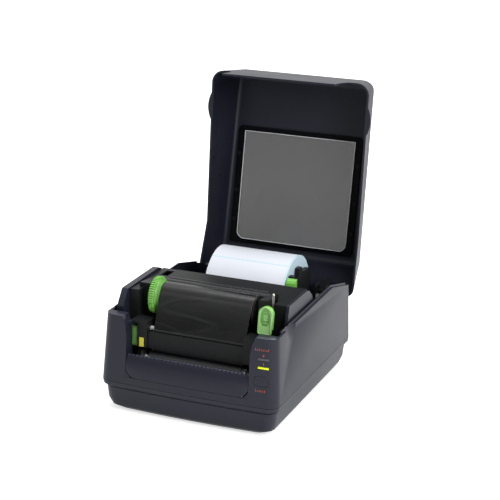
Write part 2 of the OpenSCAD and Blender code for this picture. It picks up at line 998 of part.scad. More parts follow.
module module_frame() {
    color(black_colour)
        difference() {
            union() {
                left_box();
                right_box();
                block(box_in_left, box_in_right, -47, -5, bar_top - 5, bar_top);
                block(box_in_left, box_in_right, -10, -6, 112, bar_top - 1);
                block(box_in_left, box_in_right, -98, -66, 96, 99);
                left_bracket();
                right_bracket();
                rod_x(box_out_left, box_in_left, pivot_y, pivot_z, 7);
                rod_x(box_in_right, box_out_right, pivot_y, pivot_z, 7);
            }
            rod_x(-81.5, box_in_left + 1, takeup_y, takeup_z, spindle_r + play);
            rod_x(block_right_x0 - 1, box_in_right + 3, takeup_y, takeup_z, spindle_r + play);
            rod_x(box_in_left - 3, box_in_left + 1, supply_y, supply_z, spindle_r + play);
            rod_x(box_in_right - 1, box_in_right + 3, supply_y, supply_z, spindle_r + play);
            rod_x(-81.5, -74, takeup_idler_y, takeup_idler_z, 1.6 + play);
            rod_x(-90, 90, latch_y, latch_z, latch_r + play);
            rod_x(box_in_left - 12, box_in_left + 8, pivot_y, pivot_z, pivot_r);
            rod_x(box_in_right - 8, box_in_right + 12, pivot_y, pivot_z, pivot_r);
            rod_x(-68, 64.5, rod_y, rod_z, rod_r + 0.02);
        }
}

// Left side: gear case outside, bearing block for the hand wheel inside
module left_box() {
    difference() {
        union() {
            module_side_box(box_out_left, left_step_x, -99, 96);
            module_side_box(left_step_x, box_in_left, bearing_front, 94);
            side_prism([[bearing_front, 120], [bearing_front, block_top], [-45, bar_top + 0.3],
                [-45, 120]], left_step_x - 6, box_in_left);
        }
        side_prism([[-92, 139.8], [-60, 139.8], [-60, 108], [-92, 108]],
            box_out_left + box_wall, left_step_x - box_wall);
        side_prism([[-56, 139.8], [-6, 139.8], [-6, 94], [-56, 94]],
            box_out_left + box_wall, box_in_left - 4);
        block(left_step_x - 3, box_in_left - 1, -34, -14, 139.8, bar_top + 4);
    }
}

// Right side: bearing block inside, open recess for the leaf spring, closed box outside
module right_box() {
    difference() {
        union() {
            module_side_box(box_in_right, right_step_x, bearing_front - 2, 94);
            module_side_box(right_step_x, box_out_right, -76, 94);
            side_prism([[bearing_front - 2, 112], [bearing_front - 2, block_top + 1],
                [-45, bar_top + 0.3], [-45, 112]], block_right_x0, right_step_x);
        }
        block(right_step_x, right_step_x + 5.5, -90, -62, recess_z, 160);
        side_prism([[-58, 139.8], [-6, 139.8], [-6, 94], [-58, 96]],
            box_in_right + box_wall, box_out_right - box_wall);
        side_prism([[-72, 139.8], [-57, 139.8], [-57, 96], [-72, 98]],
            right_step_x + 7.5, box_out_right - box_wall);
    }
}

left_step_x = -78.3;
right_step_x = 75.5;
block_right_x0 = 65;
bearing_front = -85;
block_top = 147;
recess_z = 112;
bracket_top = 111.6;

module left_bracket() {
    block(-79, -58, -120, -98, bracket_top - 3, bracket_top);
    block(-69.5, -58, -120, -98, 80.5, bracket_top - 2.9);
    block(-76, -68, -104, bearing_front + 1, 98, 106);
}

module right_bracket() {
    block(61.2, 73, -120, -98, 80.5, bracket_top);
    block(61.2, 71, -99, bearing_front + 1, 96, 104);
}

module module_skin_left() {
    color(side_colour)
        side_prism([[-115, 108], [-116.4, 125.5], [-105, 142], [-103, 143.3], [-20, 146],
            [-12, 143.6], [2, 132], [11, 118], [13, 98], [8, 92], [-96, 96]],
            box_out_left - 8, box_out_left - 0.2);
}

module module_skin_right() {
    color(side_colour)
        side_prism([[-80, 100], [-81.4, 121], [-79.6, 131.8], [-76.6, 141], [-75, 142.4],
            [-16, 143], [-6, 140.4], [4, 132.4], [11, 120], [13, 98], [8, 92], [-78, 96]],
            box_out_right + 0.2, box_out_right + 4);
}

module head_front_plate() {
    color(black_colour)
        union() {
            block(-58, 61.2, -117, -114.6, 79.5, 99);
            block(-58, 61.2, -114.6, -113.4, 97.4, 99);
        }
}

module print_head() {
    color("#c9c2ae")
        block(-55, 57, -111, -80, 75.4, 78);
}

module heat_sink() {
    color("#9fa3a8")
        union() {
            block(-56, 57, -109, -70, 78, 81.4);
            for (i = [0 : 5])
                block(-56, 57, -107 + i * 6.6, -105 + i * 6.6, 81.4, 86);
        }
}

module guide_rod() {
    color(steel_colour)
        rod_x(-66, 64, rod_y, rod_z, rod_r);
}

module ribbon_web() {
    color("#26282b")
        side_prism(concat(
            [[supply_y - 3, supply_z - supply_r - 0.7], [-80, 74.85], [-112.4, 74.85],
                [-113.2, 75.6], [rod_y - rod_r - 0.4, rod_z]],
            [[rod_y - 3.1 * cos(22), rod_z + 3.1 * sin(22)],
                [takeup_y - (takeup_r + 0.5) * cos(22), takeup_z + (takeup_r + 0.5) * sin(22)]],
            [[takeup_y - (takeup_r + 0.85) * cos(22), takeup_z + (takeup_r + 0.85) * sin(22)],
                [rod_y - 3.5 * cos(22), rod_z + 3.5 * sin(22)]],
            [[rod_y - rod_r - 0.8, rod_z], [-113.6, 75.7], [-112.8, 74.9],
                [-112.6, 74.7], [-80, 74.7],
                [supply_y - 3, supply_z - supply_r - 1.05]]),
            ribbon_x0, ribbon_x0 + ribbon_w);
}

// One closed turn of wire after another, standing for a coil spring
module coil(x, y, z0, z1, r, wire) {
    turns = floor((z1 - z0) / (wire * 1.6));
    for (i = [0 : turns - 1])
        translate([x, y, z0 + wire / 2 + i * (z1 - z0 - wire) / (turns - 1)])
            rotate_extrude($fn = 32)
                translate([r, 0])
                    circle(r = wire / 2, $fn = 16);
}

module head_springs() {
    color(steel_colour)
        for (x = [-38, 1, 40])
            coil(x, -84, 86, 96, 3.6, 0.9);
}

module pivot_pins() {
    color(steel_colour) {
        rod_x(box_in_left - 11, left_plate_x + plate_t + 2, pivot_y, pivot_z, pivot_r);
        rod_x(right_plate_x - 2, box_in_right + 11, pivot_y, pivot_z, pivot_r);
    }
}

module plain_tab() {
    color("#e6e11c")
        block(-67.4, -61.6, -120.5, -120, 81.2, 92.4);
}

module leaf_spring() {
    color(steel_colour)
        union() {
            block(right_step_x + 0.5, right_step_x + 3.1, -70.4, -69.6, recess_z, 149.5);
            translate([right_step_x + 1.8, -70, 150.4])
                sphere(r = 1.6, $fn = 32);
        }
}

/* ---- latch ---- */

module latch_shaft() {
    color(steel_colour)
        rod_x(-79.6, 86.5, latch_y, latch_z, latch_r);
}

lever_w = 17;
lever_x = 79.5;
lever_foot = 25;
lever_top = 44.6;
lever_lean = 7;

module release_lever() {
    color(green_colour)
        difference() {
            union() {
                translate([lever_x, latch_y + 2.5, latch_z])
                    rotate([90 - lever_lean, 0, 0])
                        linear_extrude(5) {
                            translate([-4, 0])
                                square([8, lever_foot + 4]);
                            translate([-lever_w / 2, lever_foot + 3])
                                square([lever_w, lever_top - lever_foot - 3]);
                            translate([-lever_w / 2 + 3, lever_foot])
                                square([lever_w - 6, 4]);
                            for (side = [-1, 1])
                                translate([side * (lever_w / 2 - 3), lever_foot + 3])
                                    circle(r = 3);
                            translate([0, lever_top])
                                circle(r = lever_w / 2);
                        }
                rod_x(lever_x - 4.4, lever_x + 4.4, latch_y, latch_z, 5.6);
            }
            rod_x(60, 90, latch_y, latch_z, latch_r);
        }
}

module left_latch() {
    color(green_colour)
        difference() {
            union() {
                rod_x(-79.4, -72.4, latch_y, latch_z, 4.6);
                block(-79.4, -72.4, -115.4, -110, 79.6, 103.4);
                block(-79.4, -72.4, -111, latch_y, latch_z - 3, latch_z + 3);
            }
            rod_x(-90, -60, latch_y, latch_z, latch_r);
        }
}

/* ---- ribbon spindles ---- */

wheel_x0 = -66.2;
wheel_x1 = -59.8;
wheel_ribs = 48;

module takeup_wheel() {
    color(green_colour)
        difference() {
            union() {
                rod_x(wheel_x0, wheel_x1, takeup_y, takeup_z, wheel_r - 0.9, 96);
                for (i = [0 : wheel_ribs - 1])
                    rotate_about(takeup_y, takeup_z, i * 360 / wheel_ribs)
                        block(wheel_x0, wheel_x1, takeup_y + wheel_r - 2, takeup_y + wheel_r,
                            takeup_z - 0.8, takeup_z + 0.8);
                rod_x(wheel_x1 - 1, ribbon_x0 - 1.2, takeup_y, takeup_z, 17.5);
                rod_x(ribbon_x0 - 1.4, ribbon_x0 + 12, takeup_y, takeup_z, 12.3);
                rod_x(-87, wheel_x0 + 1, takeup_y, takeup_z, spindle_r);
            }
            rod_x(wheel_x1 - 3.5, wheel_x1 + 1, takeup_y, takeup_z, 0.5);
        }
    color(black_colour) {
        rod_x(ribbon_x0 + ribbon_w - 10, ribbon_x0 + ribbon_w + 2.8, takeup_y, takeup_z, 12.3);
        rod_x(ribbon_x0 + ribbon_w + 0.6, ribbon_x0 + ribbon_w + 2.8, takeup_y, takeup_z,
            takeup_r);
        rod_x(ribbon_x0 + ribbon_w + 2.7, box_in_right + 2.4, takeup_y, takeup_z, spindle_r);
    }
}

module takeup_core() {
    color("#a58a63")
        tube_x(ribbon_x0, ribbon_x0 + ribbon_w, takeup_y, takeup_z, core_r, 12.6);
}

module takeup_film() {
    color("#26282b")
        tube_x(ribbon_x0, ribbon_x0 + ribbon_w, takeup_y, takeup_z, takeup_r, core_r + 0.02);
}

module takeup_gear() {
    color("#e8e4d8")
        spur_gear(-86.6, 5, takeup_y, takeup_z, takeup_teeth, small_tooth, spindle_r + 0.02);
}

module takeup_idler_gear() {
    color("#e8e4d8")
        union() {
            spur_gear(-86.6, 5, takeup_idler_y, takeup_idler_z, takeup_idler_teeth, small_tooth,
                1.2, takeup_mesh);
            rod_x(-87.2, -74.4, takeup_idler_y, takeup_idler_z, 1.6);
        }
}

// Direction from the take-up gear to its idler, and the idler's phase in mesh
takeup_dir = atan2(takeup_idler_z - takeup_z, takeup_idler_y - takeup_y);
takeup_mesh = mesh_phase(takeup_dir, takeup_teeth, takeup_idler_teeth, 0);

// Phase of a gear with n2 teeth that meshes with one of n1 teeth at phase p1, in direction d
function mesh_phase(d, n1, n2, p1) = d + 180 - 180 / n2 + (d - p1) * n1 / n2;

module supply_hubs() {
    color(green_colour) {
        rod_x(-61, ribbon_x0 - 1, supply_y, supply_z, 20);
        rod_x(ribbon_x0 - 1.2, ribbon_x0 + 12, supply_y, supply_z, 12.3);
        rod_x(box_in_left - 2, -60.5, supply_y, supply_z, spindle_r);
    }
    color(black_colour) {
        rod_x(ribbon_x0 + ribbon_w - 10, ribbon_x0 + ribbon_w + 4, supply_y, supply_z, 12.3);
        rod_x(ribbon_x0 + ribbon_w + 3.9, box_in_right + 2.4, supply_y, supply_z, spindle_r);
    }
}

module supply_core() {
    color("#a58a63")
        tube_x(ribbon_x0, ribbon_x0 + ribbon_w, supply_y, supply_z, core_r, 12.6);
}

module supply_film() {
    color("#26282b")
        tube_x(ribbon_x0, ribbon_x0 + ribbon_w, supply_y, supply_z, supply_r, core_r + 0.02);
}

/* ---- drive ---- */

module platen_rubber() {
    color(black_colour)
        tube_x(platen_x0, platen_x1, platen_y, platen_z, platen_r, 5);
}

module platen_shaft() {
    color(steel_colour)
        union() {
            rod_x(gear_x - 1, 68.5, platen_y, platen_z, spindle_r);
            rod_x(platen_x0 - 1, platen_x1 + 1, platen_y, platen_z, 4.98);
        }
}

module platen_gear() {
    color("#e8e4d8")
        spur_gear(gear_x, gear_w, platen_y, platen_z, platen_teeth, tooth, spindle_r + 0.02,
            platen_mesh);
}

module drive_idler_gear() {
    color("#e8e4d8")
        union() {
            spur_gear(gear_x, gear_w, drive_y, drive_z, idler_teeth, tooth, 2 + play, idler_mesh);
            tube_x(gear_x - 1, left_plate_x - 0.4, drive_y, drive_z, 3.4, 2 + play);
        }
}

module motor_pinion() {
    color("#c9a24a")
        union() {
            spur_gear(gear_x, gear_w, motor_y, motor_z, pinion_teeth, tooth, 1);
            rod_x(gear_x, left_plate_x - 0.4, motor_y, motor_z, 2.5);
        }
}

pinion_dir = atan2(drive_z - motor_z, drive_y - motor_y);
idler_mesh = mesh_phase(pinion_dir, pinion_teeth, idler_teeth, 0);
platen_dir = atan2(platen_z - drive_z, platen_y - drive_y);
platen_mesh = mesh_phase(platen_dir, idler_teeth, platen_teeth, idler_mesh);

/* ---- labels and their holders ---- */

module label_core() {
    color("#b99b6b")
        tube_x(roll_x - label_w / 2, roll_x + label_w / 2, roll_y, roll_z, label_core_out,
            label_core_in);
}

module label_stock() {
    color("#f4f6fb")
        tube_x(roll_x - label_w / 2, roll_x + label_w / 2, roll_y, roll_z, label_r,
            label_core_out + 0.02);
}

holder_gap = 0.6;
holder_t = 6;

// Upright arm with a hub that carries one end of the roll
module holder(side) {
    inner = label_w / 2 + holder_gap;
    x_in = roll_x + side * inner;
    x_out = roll_x + side * (inner + holder_t);
    lo = min(x_in, x_out);
    hi = max(x_in, x_out);
    difference() {
        union() {
            side_prism([[58, deck_z + 0.4], [102, deck_z + 0.4], [112, 70], [116, 118],
                [110, 132], [84, 134], [82, 140.5], [72, 140.5], [70, 130], [58, 130],
                [56, 136.5], [48, 136.5], [47, 120], [52, 70]], lo, hi);
            rod_x(min(x_in, x_in - side * 8), max(x_in, x_in - side * 8), roll_y, roll_z, 12.2);
            block(lo, hi, 68, 92, 33, deck_z + 1);
        }
        rod_x(-130, 130, roll_y, roll_z, 8);
    }
}

module rack(side) {
    y0 = roll_y + side * rack_y_gap;
    x_foot = roll_x + side * (label_w / 2 + holder_gap + 1);
    x_tip = roll_x - side * 20;
    pitch = PI * rack_tooth;
    union() {
        block(min(x_foot, x_tip), max(x_foot, x_tip), side > 0 ? y0 + 1.15 : y0 - 5.15,
            side > 0 ? y0 + 5.15 : y0 - 1.15, 33, 37);
        for (i = [-6 : 5]) {
            x = roll_x + side * i * pitch;
            translate([x, y0, 33])
                linear_extrude(4)
                    polygon([[-0.3, -side * 0.75], [0.3, -side * 0.75], [0.62, 0],
                        [0.95, side * 1.2], [-0.95, side * 1.2], [-0.62, 0]]);
        }
    }
}

module holder_left() {
    color(black_colour)
        union() {
            holder(-1);
            rack(-1);
        }
}

module holder_right() {
    color(black_colour)
        union() {
            holder(1);
            rack(1);
        }
}

module holder_pinion() {
    color("#e8e4d8")
        translate([roll_x, roll_y, 33])
            linear_extrude(4)
                difference() {
                    union() {
                        circle(r = rack_teeth * rack_tooth / 2 - 0.95);
                        for (i = [0 : rack_teeth - 1])
                            rotate([0, 0, (i + 0.5) * 360 / rack_teeth + 90])
                                gear_tooth(rack_teeth * rack_tooth / 2, rack_tooth);
                    }
                    circle(r = 3 + play);
                }
}

module holder_lock() {
    color(green_colour)
        side_prism([[37.5, 122], [37.5, 131], [39.5, 134], [42, 135.2], [46, 135.2],
            [46, 122]], roll_x + label_w / 2 + 1.4, roll_x + label_w / 2 + 13);
}

translate(base_middle) bottom_tray();
translate(base_middle) rubber_feet();
translate(base_middle) case_shell();
translate(base_middle) front_cover();
translate(base_middle) tear_bar();
translate(base_middle) media_deck();
translate(base_middle) left_side_plate();
translate(base_middle) right_side_plate();
translate(base_middle) platen_bushings();
translate(base_middle) stepper_motor();
translate(base_middle) main_board();
translate(base_middle) power_inlet();
translate(base_middle) data_ports();
translate(base_middle) media_sensor();
translate(base_middle) status_lenses();
translate(base_middle) panel_board();
translate(base_middle) hinge_brackets();
translate(base_middle) case_screws();
translate(base_middle) label_web();
translate(base_middle) lid_shell();
translate(base_middle) window_bezel();
translate(base_middle) window_pane();
translate(base_middle) hinge_arms();
translate(base_middle) bezel_screws();
translate(base_middle) module_frame();
translate(base_middle) module_skin_left();
translate(base_middle) module_skin_right();
translate(base_middle) head_front_plate();
translate(base_middle) print_head();
translate(base_middle) heat_sink();
translate(base_middle) guide_rod();
translate(base_middle) ribbon_web();
translate(base_middle) head_springs();
translate(base_middle) pivot_pins();
translate(base_middle) plain_tab();
translate(base_middle) leaf_spring();
translate(base_middle) release_lever();
translate(base_middle) left_latch();
translate(base_middle) latch_shaft();
translate(base_middle) takeup_wheel();
translate(base_middle) takeup_core();
translate(base_middle) takeup_film();
translate(base_middle) takeup_gear();
translate(base_middle) takeup_idler_gear();
translate(base_middle) supply_hubs();
translate(base_middle) supply_core();
translate(base_middle) supply_film();
translate(base_middle) platen_rubber();
translate(base_middle) platen_shaft();
translate(base_middle) platen_gear();
translate(base_middle) drive_idler_gear();
translate(base_middle) motor_pinion();
translate(base_middle) label_core();
translate(base_middle) label_stock();
translate(base_middle) holder_left();
translate(base_middle) holder_right();
translate(base_middle) holder_pinion();
translate(base_middle) holder_lock();
translate(base_middle) feed_button();
translate(base_middle) power_rocker();
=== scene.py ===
import json
import math

import bmesh
import bpy
from mathutils import Matrix, Vector
from mathutils.bvhtree import BVHTree


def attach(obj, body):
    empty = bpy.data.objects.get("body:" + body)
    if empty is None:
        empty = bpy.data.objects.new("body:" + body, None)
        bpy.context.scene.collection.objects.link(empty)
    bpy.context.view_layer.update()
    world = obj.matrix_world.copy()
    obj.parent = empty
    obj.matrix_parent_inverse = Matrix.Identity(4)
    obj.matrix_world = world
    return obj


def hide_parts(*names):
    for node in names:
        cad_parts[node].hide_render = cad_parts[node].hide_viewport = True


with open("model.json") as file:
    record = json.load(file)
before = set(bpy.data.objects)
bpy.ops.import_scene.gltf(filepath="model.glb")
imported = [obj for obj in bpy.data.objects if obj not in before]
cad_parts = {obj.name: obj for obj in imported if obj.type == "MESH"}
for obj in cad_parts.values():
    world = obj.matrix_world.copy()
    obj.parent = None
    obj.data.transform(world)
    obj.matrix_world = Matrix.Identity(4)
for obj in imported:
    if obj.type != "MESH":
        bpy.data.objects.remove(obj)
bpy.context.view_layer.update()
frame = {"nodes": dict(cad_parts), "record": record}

millimetre = 0.001
caseBack = 0.04979   # the middle of the case lies this far in front of the origin


class Value:
    # one output of a shader node, so that sums can be written as Python
    def __init__(self, shader, socket):
        self.shader, self.socket = shader, socket

    def math(self, operation, *others, swap=False):
        terms = [self, *others]
        if swap:
            terms.reverse()
        return self.shader.node("Math", {"operation": operation}, dict(enumerate(terms)))

    def __add__(self, other):
        return self.math("ADD", other)

    def __radd__(self, other):
        return self.math("ADD", other, swap=True)

    def __sub__(self, other):
        return self.math("SUBTRACT", other)

    def __rsub__(self, other):
        return self.math("SUBTRACT", other, swap=True)

    def __mul__(self, other):
        return self.math("MULTIPLY", other)

    def __rmul__(self, other):
        return self.math("MULTIPLY", other, swap=True)

    def __truediv__(self, other):
        return self.math("DIVIDE", other)

    def __rtruediv__(self, other):
        return self.math("DIVIDE", other, swap=True)

    def __abs__(self):
        return self.math("ABSOLUTE")

    def most(self, other):
        return self.math("MAXIMUM", other)

    def sine(self):
        return self.math("SINE")

    def angleOver(self, other):
        return self.math("ARCTAN2", other)

    def root(self):
        return self.math("SQRT")


class Shader:
    # the nodes of a new material, or of a world that is handed in
    def __init__(self, name, world=None):
        self.owner = world or bpy.data.materials.new(name)
        self.owner.use_nodes = True
        self.tree = self.owner.node_tree
        self.tree.nodes.clear()

    def node(self, kind, settings=None, sockets=None, out=0):
        made = self.tree.nodes.new("ShaderNode" + kind)
        for key, value in (settings or {}).items():
            if key == "stops":
                ramp = made.color_ramp.elements
                while len(ramp) < len(value):
                    ramp.new(0.5)
                for stop, (place, colour) in zip(ramp, value):
                    stop.position, stop.color = place, colour
            else:
                setattr(made, key, value)
        for key, value in (sockets or {}).items():
            target = made.inputs[key]
            if isinstance(value, Value):
                self.tree.links.new(value.socket, target)
            elif hasattr(target, "default_value"):
                target.default_value = value
        result = made.outputs[out] if made.outputs else None
        return Value(self, result)

    def more(self, value, out):
        return Value(self, value.socket.node.outputs[out])

    def place(self):
        # places in the shaders, as in the pieces, are counted from the middle of the case
        return self.node("VectorMath", {"operation": "ADD"},
                         {0: self.node("TexCoord", out="Object"), 1: (0, caseBack, 0)})

    def parts(self, vector):
        split = self.node("SeparateXYZ", None, {0: vector})
        return [self.more(split, i) for i in range(3)]

    def noise(self, vector, scale, detail=3, rough=0.5, stretch=None):
        if stretch:
            vector = self.node("Mapping", None, {"Vector": vector, "Scale": stretch})
        return self.node("TexNoise", None, {"Vector": vector, "Scale": scale,
                                            "Detail": detail, "Roughness": rough})

    def ramp(self, value, stops):
        return self.node("ValToRGB", {"stops": stops}, {0: value})

    def spread(self, value, low, high, newLow=0.0, newHigh=1.0):
        return self.node("MapRange", None, {0: value, 1: low, 2: high, 3: newLow, 4: newHigh})

    def blend(self, factor, first, second, way="MIX"):
        return self.node("Mix", {"data_type": "RGBA", "blend_type": way},
                         {0: factor, 6: first, 7: second}, out=2)

    def bump(self, height, distance, strength=1.0):
        return self.node("Bump", None, {"Height": height, "Distance": distance,
                                        "Strength": strength})

    def finish(self, sockets):
        surface = self.node("BsdfPrincipled", None, sockets)
        self.node("OutputMaterial", None, {"Surface": surface})
        return self.owner


def rgb(red, green, blue):
    # colours are written as seen on a screen, 0 to 255
    def linear(c):
        c /= 255
        return c / 12.92 if c <= 0.04045 else ((c + 0.055) / 1.055) ** 2.4
    return (linear(red), linear(green), linear(blue), 1)


view = {
    "place": (0.58341, -1.54193, 0.64155),
    "target": (0.02017, -0.04979, 0.17809),
    "roll": 2.031,
    "lens": 100.11,
    "sensor": 36,
}
studio = {
    "floorHalf": 9,           # metres
    "floorColour": (0.86, 0.86, 0.87, 1),
    "floorFade": (0.35, 1.1),  # distances between which the glow grows from near to far
    "floorGlow": 0.62,        # added where the camera sees the floor near the object
    "floorGlowFar": 1.0,      # and far from it
    "floorMirror": 0.32,      # added where a glossy surface mirrors it
    "skyLight": 0.34,
    "skySeen": 1.0,
    "skyMirrorFront": 0.1,    # what a glossy surface mirrors from the front
    "skyMirrorBack": 1.0,     # and from above and behind
    "lamps": [  # name, place, target, width, height, watts
        ("sideLamp", (1.6, -1.1, 1.1), (0, 0, 0.12), 1.0, 1.0, 31),
        ("topLamp", (0.1, 0.5, 2.3), (0, 0, 0.1), 1.4, 1.1, 42),
        ("frontLamp", (-0.9, -1.9, 1.5), (0, 0, 0.15), 1.2, 1.2, 5),
    ],
}


def aimAt(place, target, roll=0.0):
    back = (Vector(place) - Vector(target)).normalized()
    right = Vector((0, 0, 1)).cross(back).normalized()
    up = back.cross(right)
    turn = math.radians(roll)
    newRight = right * math.cos(turn) + up * math.sin(turn)
    newUp = up * math.cos(turn) - right * math.sin(turn)
    matrix = Matrix((newRight, newUp, back)).transposed().to_4x4()
    matrix.translation = Vector(place)
    return matrix


def makeCamera():
    data = bpy.data.cameras.new("mainCamera")
    data.lens, data.sensor_width = view["lens"], view["sensor"]
    data.clip_start, data.clip_end = 0.05, 50
    camera = bpy.data.objects.new("mainCamera", data)
    bpy.context.scene.collection.objects.link(camera)
    camera.matrix_world = aimAt(view["place"], view["target"], view["roll"])
    bpy.context.scene.camera = camera


def makeFloor():
    mesh = bpy.data.meshes.new("studioFloor")
    far = studio["floorHalf"]
    mesh.from_pydata([(-far, -far, 0), (far, -far, 0), (far, far, 0), (-far, far, 0)], [],
                     [(0, 1, 2, 3)])
    floor = bpy.data.objects.new("studioFloor", mesh)
    bpy.context.scene.collection.objects.link(floor)
    paper = Shader("floorPaper")
    path = paper.node("LightPath")
    seen = paper.more(path, "Is Camera Ray")
    mirrored = paper.more(path, "Is Glossy Ray").most(paper.more(path, "Is Transmission Ray"))
    x, y = paper.parts(paper.place())[:2]
    away = paper.spread((x * x + y * y).root(), *studio["floorFade"])
    grain = paper.spread(paper.noise(paper.place(), 30), 0.3, 0.7, 0.985, 1.0)
    lit = paper.node("BsdfDiffuse", None, {
        "Color": paper.blend(1.0, studio["floorColour"], grain, "MULTIPLY")})
    nearGlow, farGlow = studio["floorGlow"], studio["floorGlowFar"]
    glow = paper.node("Emission", None, {
        "Color": (1, 1, 1, 1),
        "Strength": seen * (away * (farGlow - nearGlow) + nearGlow)
        + mirrored * studio["floorMirror"]})
    paper.node("OutputMaterial", None, {"Surface": paper.node("AddShader", None, {0: lit, 1: glow})})
    mesh.materials.append(paper.owner)


def makeSky():
    world = bpy.data.worlds.new("studioWorld")
    bpy.context.scene.world = world
    sky = Shader("studioSky", world)
    path = sky.node("LightPath")
    seen = sky.more(path, "Is Camera Ray").most(sky.more(path, "Is Transmission Ray"))
    glossy = sky.more(path, "Is Glossy Ray")
    x, y, z = sky.parts(sky.node("TexCoord", out="Generated"))
    front, back = studio["skyMirrorFront"], studio["skyMirrorBack"]
    mirrored = sky.spread(y + z * 1.3 + x * 0.5, -0.1, 0.9, front, back)
    light = studio["skyLight"]
    strength = glossy * (mirrored - light) + seen * (studio["skySeen"] - light) + light
    glow = sky.node("Background", None, {"Color": (1, 1, 1, 1), "Strength": strength})
    sky.node("OutputWorld", None, {"Surface": glow})


def makeLamps():
    for name, place, target, width, height, watts in studio["lamps"]:
        data = bpy.data.lights.new(name, "AREA")
        data.shape, data.size, data.size_y, data.energy = "RECTANGLE", width, height, watts
        lamp = bpy.data.objects.new(name, data)
        bpy.context.scene.collection.objects.link(lamp)
        lamp.matrix_world = aimAt(place, target)


bpy.context.scene.view_settings.view_transform = "Standard"
makeCamera()
makeFloor()
makeSky()
makeLamps()
print("camera and studio ready")


finishes = {
    # colour, roughness, grain per metre, depth of the grain in metres
    "casePlastic": {"colour": rgb(27, 29, 41), "rough": 0.42, "grain": 1500, "depth": 0.00003,
                    "shine": 0.32},
    "innerPlastic": {"colour": rgb(25, 26, 27), "rough": 0.42, "grain": 1300, "depth": 0.00002,
                     "shine": 0.14},
    "blackParts": {"colour": rgb(19, 20, 20), "rough": 0.42, "grain": 1200, "depth": 0.00002,
                   "shine": 0.14},
    "bezelGloss": {"colour": rgb(6, 7, 9), "rough": 0.3, "grain": 800, "depth": 0.000004,
                   "shine": 0.1},
    # painted highlight: a lighter, glossier copy of the black plastic, for the lips and dashes on
    # the module's top
    "ridgeGlossHighlight": {"colour": rgb(44, 44, 46), "rough": 0.24, "grain": 900, "depth": 0.00001,
                   "shine": 0.7},
    # painted light: a paler, lit copy of the lever's green, for its face and ridges
    "leverLitGreen": {"colour": rgb(140, 190, 112), "rough": 0.3, "grain": 900, "depth": 0.00001},
    # painted shade: a darker copy of the lever's green, for the dish between the ridges
    "leverPaintedShade": {"colour": rgb(88, 140, 66), "rough": 0.2, "grain": 900, "depth": 0.00001},
    "footRubber": {"colour": rgb(20, 20, 20), "rough": 0.85, "grain": 900, "depth": 0.00004},
    "greenPlastic": {"colour": rgb(118, 190, 78), "rough": 0.34, "grain": 900, "depth": 0.00001},
    "gearPlastic": {"colour": rgb(222, 220, 208), "rough": 0.4, "grain": 900, "depth": 0.00001},
    "headCeramic": {"colour": rgb(198, 192, 170), "rough": 0.25, "grain": 700, "depth": 0.000005},
    # painted shade: a darker, greyer copy of the green, for the left latch and the floor between the
    # wheel's ribs
    "paintedShadeGreen": {"colour": rgb(106, 142, 86), "rough": 0.42, "grain": 900, "depth": 0.00001},
    # painted shade: a darker copy of the green, for the take-up wheel's dish against its ribs
    "wheelShadedGreen": {"colour": rgb(96, 152, 66), "rough": 0.34, "grain": 900, "depth": 0.00001},
    # painted highlight: a near-white colour for the ring round the pane
    "paneEdgeHighlight": {"colour": rgb(222, 223, 226), "rough": 0.2, "grain": 900, "depth": 0.000004},
    "rollerRubber": {"colour": rgb(26, 27, 29), "rough": 0.32, "grain": 900, "depth": 0.00001},
    # painted light: a lighter copy of the case plastic, for the ribs along the cover's top
    "ribLitPlastic": {"colour": rgb(46, 48, 64), "rough": 0.34, "grain": 900, "depth": 0.00001,
                   "shine": 0.4},
    # painted highlight: a lighter, glossier copy of the case plastic, for the beads on the pillar
    # tops
    "caseEdge": {"colour": rgb(62, 65, 84), "rough": 0.28, "grain": 900, "depth": 0.00001,
                 "shine": 0.6},
    "satinSteel": {"colour": rgb(214, 210, 206), "rough": 0.42, "grain": 900, "depth": 0.00001,
                   "metal": 0.55},
    "darkSteel": {"colour": rgb(40, 41, 44), "rough": 0.38, "grain": 900, "depth": 0.00001},
    "yellowTab": {"colour": rgb(200, 194, 46), "rough": 0.5, "grain": 900, "depth": 0.000005},
    "boardGreen": {"colour": rgb(24, 92, 52), "rough": 0.4, "grain": 600, "depth": 0.00001},
    "cardBrown": {"colour": rgb(170, 138, 98), "rough": 0.85, "grain": 700, "depth": 0.00003},
    "orangeInk": {"colour": rgb(188, 84, 50), "rough": 0.6, "grain": 900, "depth": 0.000003},
}


def plainFinish(name):
    look = finishes[name]
    s = Shader(name)
    where = s.place()
    fine = s.noise(where, look["grain"], 2, 0.6)
    broad = s.noise(where, 14, 3, 0.5)
    tone = s.spread(broad, 0.3, 0.7, 0.93, 1.07)
    colour = s.blend(1.0, look["colour"], s.node("CombineColor", None, {0: tone, 1: tone, 2: tone}),
                     "MULTIPLY")
    return s.finish({
        "Base Color": colour,
        "Roughness": s.spread(broad, 0.25, 0.75, look["rough"] - 0.04, look["rough"] + 0.04),
        "Specular IOR Level": look.get("shine", 0.5), "Metallic": look.get("metal", 0.0),
        "Normal": s.bump(fine, look["depth"])})


def steelFinish():
    s = Shader("brightSteel")
    where = s.place()
    lines = s.noise(where, 60, 4, 0.6, stretch=(1, 30, 30))
    return s.finish({
        "Base Color": s.ramp(lines, [(0.3, rgb(205, 206, 208)), (0.7, rgb(232, 233, 235))]),
        "Metallic": 1.0, "Roughness": s.spread(lines, 0.3, 0.7, 0.26, 0.4)})


filmLook = {
    "colour": rgb(11, 12, 13),
    # painted highlight: the colour that the creases are blended towards
    "creaseHighlight": rgb(38, 39, 42),
    "rough": (0.2, 0.34),
    "waveHeight": 0.0006,
}


